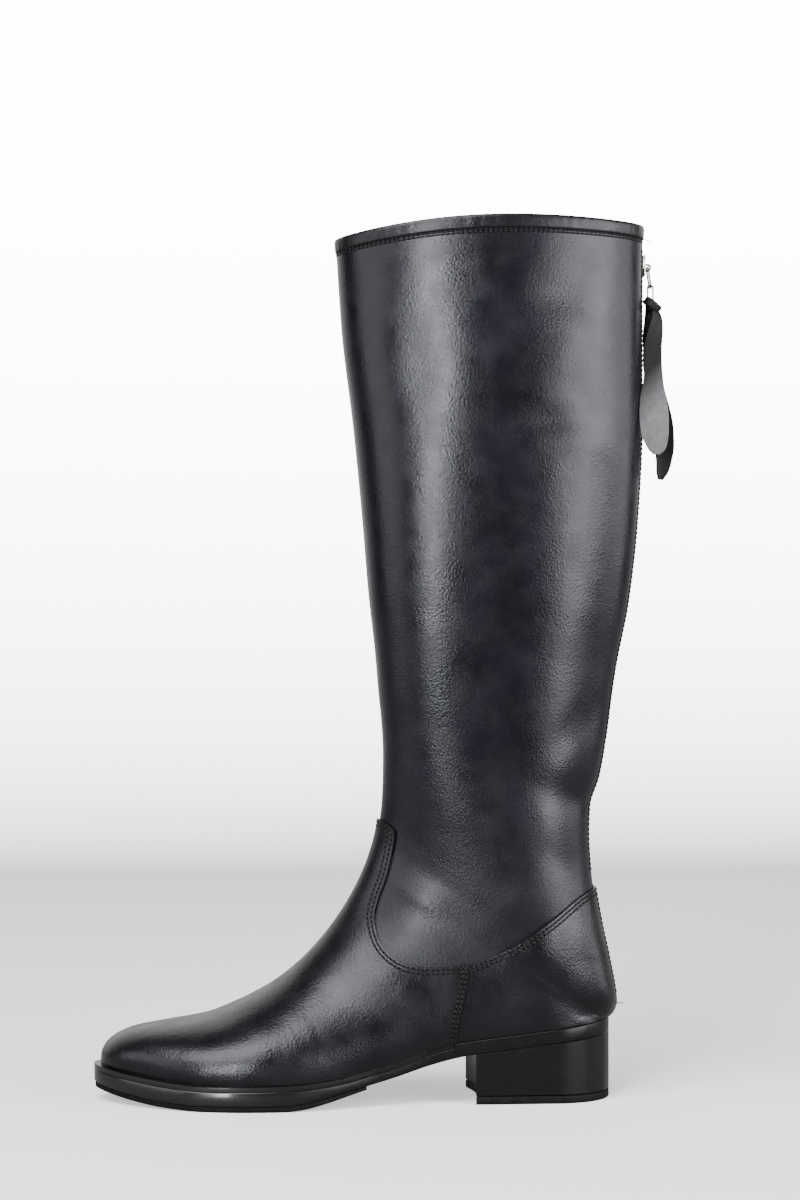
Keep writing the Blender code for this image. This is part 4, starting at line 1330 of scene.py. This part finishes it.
def make_slider():
    """The slider: a tapered top plate, two flanges beside the chain and the bridge for the pull."""
    middle = (SLIDER_TOP + SLIDER_BOTTOM) / 2
    half = (SLIDER_TOP - SLIDER_BOTTOM) / 2
    place, across, along, out = back_frame(middle, 0.0, 0.0)
    lower = -(TEETH_DEPTHS[0] - GAP)
    low, high = (-SLIDER_HALF, -half, lower), (SLIDER_HALF, half, lower + SLIDER_PLATE)
    plate = box_piece("slider_plate", low, high, PLATE_ROUND)
    for vert in plate.data.vertices:
        if vert.co.y < 0:
            vert.co.x *= 1 + PLATE_TAPER * vert.co.y / (half * MM)
    inner = TEETH_HALF + GAP
    flanges = []
    for side in (-1, 1):
        edges = sorted((side * inner, side * SLIDER_HALF))
        low = (edges[0], -half * FLANGE_LOW, lower - SLIDER_FLANGE)
        high = (edges[1], half * FLANGE_HIGH, lower + FLANGE_LAP)
        flanges.append(box_piece("slider_flange", low, high, FLANGE_ROUND))
    to_hinge = hinge_point() - place
    bridge = slider_bridge(to_hinge.dot(along) / MM, to_hinge.dot(out) / MM)
    only(plate)
    for piece in [*flanges, bridge]:
        piece.select_set(True)
    bpy.ops.object.join()
    slider = named("slider")
    turn = Matrix((across, along, out)).transposed().to_4x4()
    slider.data.transform(Matrix.Translation(place) @ turn)
    smooth(slider, 40)
    finish_piece(slider, NICKEL, replaces=["zip_slider"])


BEND_STEPS = 8
WIRE_SIDES = 14


def wire_ring(name, top, bottom, across, body, node_name):
    """A wire ring with round corners, its bars through top and bottom."""
    along = (bottom - top).normalized()
    side = across.normalized()
    normal = along.cross(side)
    bend = RING_BEND * MM
    places = []
    for k, (bar, hand, end) in enumerate(((top, 1, -1), (top, -1, -1), (bottom, -1, 1), (bottom, 1, 1))):
        middle = bar + side * hand * (across.length - bend) - along * end * bend
        for i in range(BEND_STEPS + 1):
            angle = math.pi / 2 * i / BEND_STEPS
            turn = angle if k % 2 == 0 else math.pi / 2 - angle
            places.append(middle + (side * hand * math.cos(turn) + along * end * math.sin(turn)) * bend)
    rings = []
    count = len(places)
    for i in range(count + 1):
        before, here, after = (places[(i + k) % count] for k in (-1, 0, 1))
        outward = (after - before).normalized().cross(normal)
        turns = [2 * math.pi * j / WIRE_SIDES for j in range(WIRE_SIDES)]
        rings.append([here + (outward * math.cos(a) + normal * math.sin(a)) * WIRE * MM for a in turns])
    ring = tube(name, rings, ends=False)
    smooth(ring, 60)
    return finish_piece(ring, RING_METAL, body, [node_name])


def turned(angle):
    """The way across, turned about the upright by the angle."""
    return Vector((math.cos(angle), math.sin(angle), 0.0))


def make_pull():
    make_slider()
    hinge, link = hinge_point(), link_point()
    wire_ring("pull_ring", hinge, link, Vector((0.0, RING_HALF, 0.0)) * MM, "zip_pull", "zip_pull")
    link_top = link + Vector((0.0, 0.0, 2 * WIRE + GAP)) * MM
    link_bottom = link_top - Vector((0.0, 0.0, LINK_LENGTH)) * MM
    wire_ring("tab_ring", link_top, link_bottom, turned(LINK_TURN) * LINK_HALF * MM, "pull_tab", "pull_link")
    make_tab(link_bottom)
    make_tab_loop(link_bottom)


# How finely the strap is drawn: steps along a petal, closer together towards its end, round the fold, and
# across. Each petal is cupped by a little, fully so from a distance below the fold.
PETAL_STEPS = 46
PETAL_EASE = 1.35
TAB_FOLD_STEPS = 12
STRAP_COLUMNS = 10
CUP = 0.5
CUP_RUN = 40.0


def petal_rows(petal, side):
    """A petal's rows from the fold down: down, apart, half width, out and side."""
    length = petal.rows[-1][0]
    rows = []
    for i in range(PETAL_STEPS + 1):
        down = length * (1 - (1 - i / PETAL_STEPS) ** PETAL_EASE)
        apart, half, out = (petal.read(name, down, "down") for name in ("apart", "half", "out"))
        rows.append((down, side * apart, half, out, side))
    return rows


def make_tab(fold):
    """The tab: one strap folded over the link, with a petal on each side."""
    radius, half_width = TAB_FOLD[1:3]
    rows = petal_rows(NEAR_PETAL, -1)[::-1]
    for i in range(1, TAB_FOLD_STEPS):
        angle = math.pi * i / TAB_FOLD_STEPS
        rows.append((-radius * math.sin(angle), -radius * math.cos(angle), half_width, 0.0, 0))
    rows += petal_rows(FAR_PETAL, 1)
    def place(row, column):
        down, across, half, out, side = rows[row]
        share = 2 * column / STRAP_COLUMNS - 1
        cup = CUP * (1 - share * share) * min(max(down / CUP_RUN, 0.0), 1.0)
        twist = LINK_TURN * min(1.0, max(0.0, 1.0 - down / TAB_TWIST))
        offset = turned(twist) * share * half + turned(twist + math.pi / 2) * (across + side * cup)
        return fold + (Vector((out, 0.0, -down)) + offset) * MM
    tab = grid_sheet("tab_strap", len(rows) - 1, STRAP_COLUMNS, place)
    thicken(tab, TAB_THICK, 0)
    outwards(tab)
    smooth(tab, 50)
    finish_piece(tab, TAB_LEATHER, "pull_tab", ["pull_tab"])


# The loop round the tab's top: its slope and the way across its band, seen from the side, its middle from the
# fold, its half length and half depth, and its band's section as millimetres across and out
LOOP_SLOPE = Vector((0.78, 0.0, -0.626))
LOOP_WIDE = Vector((0.626, 0.0, 0.78))
LOOP_MIDDLE = Vector((1.0, 0.0, 0.4))
LOOP_HALF = 4.4
LOOP_DEEP = 3.5
LOOP_STEPS = 40
LOOP_SECTION = ((-1.9, -0.4), (-1.9, 0.4), (-1.4, 0.6), (1.4, 0.6), (1.9, 0.4), (1.9, -0.4))


def make_tab_loop(fold):
    middle = fold + LOOP_MIDDLE * MM
    rings = []
    for i in range(LOOP_STEPS + 1):
        angle = 2 * math.pi * i / LOOP_STEPS
        out = Vector((LOOP_SLOPE.x * math.cos(angle), math.sin(angle), LOOP_SLOPE.z * math.cos(angle)))
        deep = Vector((0.0, LOOP_DEEP * math.sin(angle), 0.0))
        centre = middle + (LOOP_SLOPE * LOOP_HALF * math.cos(angle) + deep) * MM
        rings.append([centre + (LOOP_WIDE * wide + out * thick) * MM for wide, thick in LOOP_SECTION])
    loop = tube("tab_loop", rings, ends=False)
    smooth(loop, 50)
    finish_piece(loop, TAB_LEATHER, "pull_tab")


# Sewing

# A stitch's pitch along its row, its rise off the leather, its half length, half width and half height, and
# how blunt its ends are
STITCH_PITCH = 2.55
STITCH_RISE = 0.1
STITCH_HALF = (0.98, 0.36, 0.32)
STITCH_BLUNT = 0.6
# A near-black strip of painted shade under the stitches, standing for the shadow in their channel: its lap
# from stitch to stitch, its width and how far it is below them
SHADE_STRIP_LAP = 1.02
SHADE_STRIP_WIDTH = 0.9
SHADE_STRIP_SINK = 0.06
# Rows of stitches: millimetres from the overlays' seams and from the zip's slit, and rows under the band
SEAM_ROWS = (1.5, 3.4)
ZIP_ROWS = (2.4, 4.6)
UNDER_BAND_ROWS = (0.035, 0.095)
SHAFT_ZIP_ENDS = (SLIT_ROW + 3.1, BAND_ROW - 0.2)
COUNTER_ZIP_ENDS = (SLIT_ROW + 0.3, SLIT_ROW + 2.62)
SEWING_POINTS = 8
UNDER_BAND_REACH = 0.985
UNDER_BAND_STEPS = 400
ZIP_ROW_STEPS = 240
ZIP_ROW_SEARCH = 0.004
SIDE_REACH = 120.0


def stitch_model():
    """One stitch, lying along its row."""
    bpy.ops.object.select_all(action="DESELECT")
    bpy.ops.mesh.primitive_uv_sphere_add(segments=6, ring_count=5, radius=1.0)
    stitch = named("stitch")
    length, width, height = STITCH_HALF
    for vert in stitch.data.vertices:
        round_end = math.copysign(abs(vert.co.z) ** STITCH_BLUNT, vert.co.z)
        vert.co = Vector((round_end * length, vert.co.x * width, vert.co.y * height)) * MM
    return stitch


def shade_strip_model():
    """A length of the strip of painted shade under one stitch."""
    bpy.ops.object.select_all(action="DESELECT")
    bpy.ops.mesh.primitive_plane_add(size=1.0)
    shade_strip = named("shade_strip")
    for vert in shade_strip.data.vertices:
        vert.co = Vector((vert.co.x * STITCH_PITCH * SHADE_STRIP_LAP, vert.co.y * SHADE_STRIP_WIDTH, 0.0)) * MM
    return shade_strip


def shown_line(piece, line, side):
    """A line seen from the side, laid on a piece."""
    found = []
    for ahead, up in line:
        start = point(ahead, side * SIDE_REACH, up)
        hit, place = piece.ray_cast(start, Vector((0.0, -side, 0.0)))[:2]
        if hit and place.y * side > MIDDLE * side:
            found.append(place)
    return found


def beside(line, distance):
    """A line seen from the side, moved to its left by a distance."""
    moved = []
    for i, (ahead, up) in enumerate(line):
        before, after = line[max(i - 1, 0)], line[min(i + 1, len(line) - 1)]
        run, rise = after[0] - before[0], after[1] - before[1]
        length = math.hypot(run, rise)
        moved.append((ahead - rise / length * distance, up + run / length * distance))
    return moved


def sewn(piece, places):
    """Frames for the stitches of one row along places on a piece."""
    frames = []
    for place, way in spaced(places, STITCH_PITCH * MM):
        ground, normal = piece.closest_point_on_mesh(place)[1:3]
        across = normal.cross(way).normalized()
        frames.append((ground + normal * STITCH_RISE * MM, way, across, way.cross(across)))
    return frames


def edge_line(side, distance, low, high):
    """A line up the shaft from one row to another, a distance from the edge of the zip's slit."""
    places = []
    for i in range(ZIP_ROW_STEPS + 1):
        sizes = fan(low + (high - low) * i / ZIP_ROW_STEPS)
        reach, across = 0.0, 1.0
        last = fan_point(sizes, side * across)
        while reach < distance * MM:
            across -= ZIP_ROW_SEARCH
            here = fan_point(sizes, side * across)
            reach += (here - last).length
            last = here
        places.append(last)
    return places


def on_counter(shaft, places):
    """Places on the shaft, moved out to the counter that covers it."""
    moved = []
    for place in places:
        ground, normal = shaft.closest_point_on_mesh(place)[1:3]
        moved.append(ground + normal * (GAP + OVERLAY) * MM)
    return moved


def make_sewing(shaft, vamp, counter):
    bpy.context.view_layer.update()
    seams = (VAMP_SEAM, SIDE_SEAM, COUNTER_SEAM)
    vamp_line, side_line, counter_line = (smooth_line(seam, SEWING_POINTS) for seam in seams)
    frames = []
    for side in (-1, 1):
        for distance in SEAM_ROWS:
            frames += sewn(vamp, shown_line(vamp, beside(vamp_line, -distance), side))
            frames += sewn(vamp, shown_line(vamp, beside(side_line, -distance), side))
            frames += sewn(counter, shown_line(counter, beside(counter_line, distance), side))
        for distance in ZIP_ROWS:
            frames += sewn(shaft, edge_line(side, distance, *SHAFT_ZIP_ENDS))
            frames += sewn(counter, on_counter(shaft, edge_line(side, distance, *COUNTER_ZIP_ENDS)))
    for drop in UNDER_BAND_ROWS:
        sizes = fan(BAND_ROW - drop)
        shares = [i / UNDER_BAND_STEPS for i in range(UNDER_BAND_STEPS + 1)]
        places = [fan_point(sizes, -UNDER_BAND_REACH + 2 * UNDER_BAND_REACH * share) for share in shares]
        frames += sewn(shaft, places)
    stitches = copies("stitching", stitch_model(), frames)
    finish_piece(stitches, THREAD)
    # Strips of painted shade under the stitches, for the shadow in their channel
    sunk = [(place - out * SHADE_STRIP_SINK * MM, way, across, out) for place, way, across, out in frames]
    shade_strips = copies("painted_stitch_shade_strips", shade_strip_model(), sunk)
    finish_piece(shade_strips, STITCH_SHADE)


# Two loose ends of thread, beside the zip's top end and at its lower end: points ahead, to the side and up
THREAD_RADIUS = 0.22
THREAD_SIDES = 6
THREAD_ENDS = (
    ((-12.6, -4.4, 443.0), (-14.6, -4.9, 443.1), (-16.0, -5.2, 442.4), (-17.3, -5.4, 441.3)),
    ((1.4, -4.2, 47.4), (-0.6, -4.8, 48.0), (-2.0, -5.2, 47.5), (-3.0, -5.4, 48.4)),
)


def make_thread_ends():
    for i, stops in enumerate(THREAD_ENDS):
        places = [point(*stop) for stop in stops]
        rings = []
        for before, place, after in zip([places[0]] + places, places, places[1:] + [places[-1]]):
            way = (after - before).normalized()
            across = way.cross(Vector((0.0, 1.0, 0.0))).normalized()
            out = way.cross(across)
            turns = [2 * math.pi * k / THREAD_SIDES for k in range(THREAD_SIDES)]
            ways = [across * math.cos(turn) + out * math.sin(turn) for turn in turns]
            rings.append([place + way * THREAD_RADIUS * MM for way in ways])
        end = tube(f"thread_end_{i + 1}", rings)
        smooth(end, 60)
        finish_piece(end, THREAD)


SHAFT = make_shaft()
VAMP = make_vamp()
COUNTER = make_counter()
make_band()
make_soles()
make_welt()
make_heel()
make_zip()
make_pull()
make_sewing(SHAFT, VAMP, COUNTER)
make_thread_ends()


# Studio, in metres. The paper rises further off than the camera stands, so it hides the boot from no side.
PAPER_FRONT = -0.75
PAPER_FLAT = 1.3
PAPER_BEND = 0.7
PAPER_TOP = 2.6
PAPER_STEPS = 12
PAPER_COLUMNS = 8
PAPER_WIDTH = 7.0
# The height that the paper's glow grows up to, and how it grows. The camera sees the paper paler than the
# boot does, so that the backdrop is pale without bright rims on the leather.
GLOW_TOP = 0.75
GLOW_BOW = 0.7


def make_paper():
    """A pale sheet that runs along the floor and up behind the boot."""
    profile = [(PAPER_FRONT, 0.0)]
    for i in range(PAPER_STEPS + 1):
        angle = math.pi / 2 * i / PAPER_STEPS
        profile.append((PAPER_FLAT + PAPER_BEND * math.sin(angle), PAPER_BEND * (1 - math.cos(angle))))
    profile.append((PAPER_FLAT + PAPER_BEND, PAPER_TOP))
    def place(row, column):
        away, up = profile[row]
        return Vector(((column / PAPER_COLUMNS - 0.5) * PAPER_WIDTH, away, up))
    paper = grid_sheet("paper", len(profile) - 1, PAPER_COLUMNS, place)
    smooth(paper, 60)
    material, tree, shader, spot = new_finish("paper", Roughness=0.9)
    height = node(tree, "ShaderNodeSeparateXYZ", {"Vector": spot}).outputs["Z"]
    seen = node(tree, "ShaderNodeLightPath").outputs["Is Camera Ray"]
    tone = tones(tree, seen, (0.0, (0.15, 0.151, 0.152)), (1.0, (0.52, 0.522, 0.526)))
    tree.links.new(tone, shader.inputs["Base Color"])
    rise = between(tree, height, 0.0, GLOW_TOP, 0.0, 1.0)
    bowed = node(tree, "ShaderNodeMath", {0: rise, 1: GLOW_BOW}, operation="POWER").outputs["Value"]
    lit = between(tree, bowed, 0.0, 1.0, 0.55, 14.0)
    dim = between(tree, height, 0.0, GLOW_TOP, 0.15, 1.4)
    glow = node(tree, "ShaderNodeMix", {"Factor": seen, "A": dim, "B": lit}).outputs["Result"]
    shader.inputs["Emission Color"].default_value = (1.0, 1.0, 1.0, 1.0)
    tree.links.new(glow, shader.inputs["Emission Strength"])
    paper.data.materials.append(material)


BOOT_MIDDLE = (0.0, 0.0, 0.3)


def softbox(name, place, width, height, power, aim=BOOT_MIDDLE, lean=0.0):
    """A rectangular light that faces its aim, turned about its own axis by a lean in degrees."""
    light = bpy.data.lights.new(name, "AREA")
    light.shape = "RECTANGLE"
    light.size, light.size_y = width, height
    light.energy = power
    lamp = bpy.data.objects.new(name, light)
    lamp.location = place
    lamp.rotation_euler = (Vector(aim) - Vector(place)).to_track_quat("-Z", "Y").to_euler()
    lamp.rotation_euler.rotate_axis("Z", math.radians(lean))
    bpy.context.scene.collection.objects.link(lamp)


def make_light():
    world = bpy.data.worlds.new("room")
    world.use_nodes = True
    world.node_tree.nodes["Background"].inputs["Color"].default_value = (0.96, 0.98, 1.0, 1.0)
    world.node_tree.nodes["Background"].inputs["Strength"].default_value = 0.05
    bpy.context.scene.world = world
    softbox("left_softbox", (-0.9, -2.13, 0.54), width=0.34, height=1.14, power=71.0)
    softbox("right_softbox", (1.49, -1.31, 0.56), width=1.6, height=1.1, power=92.0, lean=30.0)
    softbox("top_softbox", (-0.6, -0.95, 1.45), width=1.2, height=1.2, power=80.0, aim=(-0.1, -0.1, 0.0))
    softbox("right_fill", (2.3, -0.2, 0.6), width=1.2, height=1.2, power=27.0)
    softbox("left_fill", (-2.2, -0.9, 0.7), width=1.6, height=1.6, power=34.0)


# The camera's lens and film in millimetres, the point on the boot that it looks at, its way and its distance
CAMERA_LENS = 90.0
CAMERA_FILM = 36.0
CAMERA_AIM = (112.6, 0.0, 256.4)
CAMERA_WAY = (0.0732, 0.9973, 0.0)
CAMERA_AWAY = 1.55


def make_camera():
    camera = bpy.data.cameras.new("camera")
    camera.lens = CAMERA_LENS
    camera.sensor_fit = "VERTICAL"
    camera.sensor_height = CAMERA_FILM
    holder = bpy.data.objects.new("camera", camera)
    way = Vector(CAMERA_WAY).normalized()
    holder.location = point(*CAMERA_AIM) - way * CAMERA_AWAY
    holder.rotation_euler = way.to_track_quat("-Z", "Y").to_euler()
    bpy.context.scene.collection.objects.link(holder)
    bpy.context.scene.camera = holder


make_paper()
make_light()
make_camera()
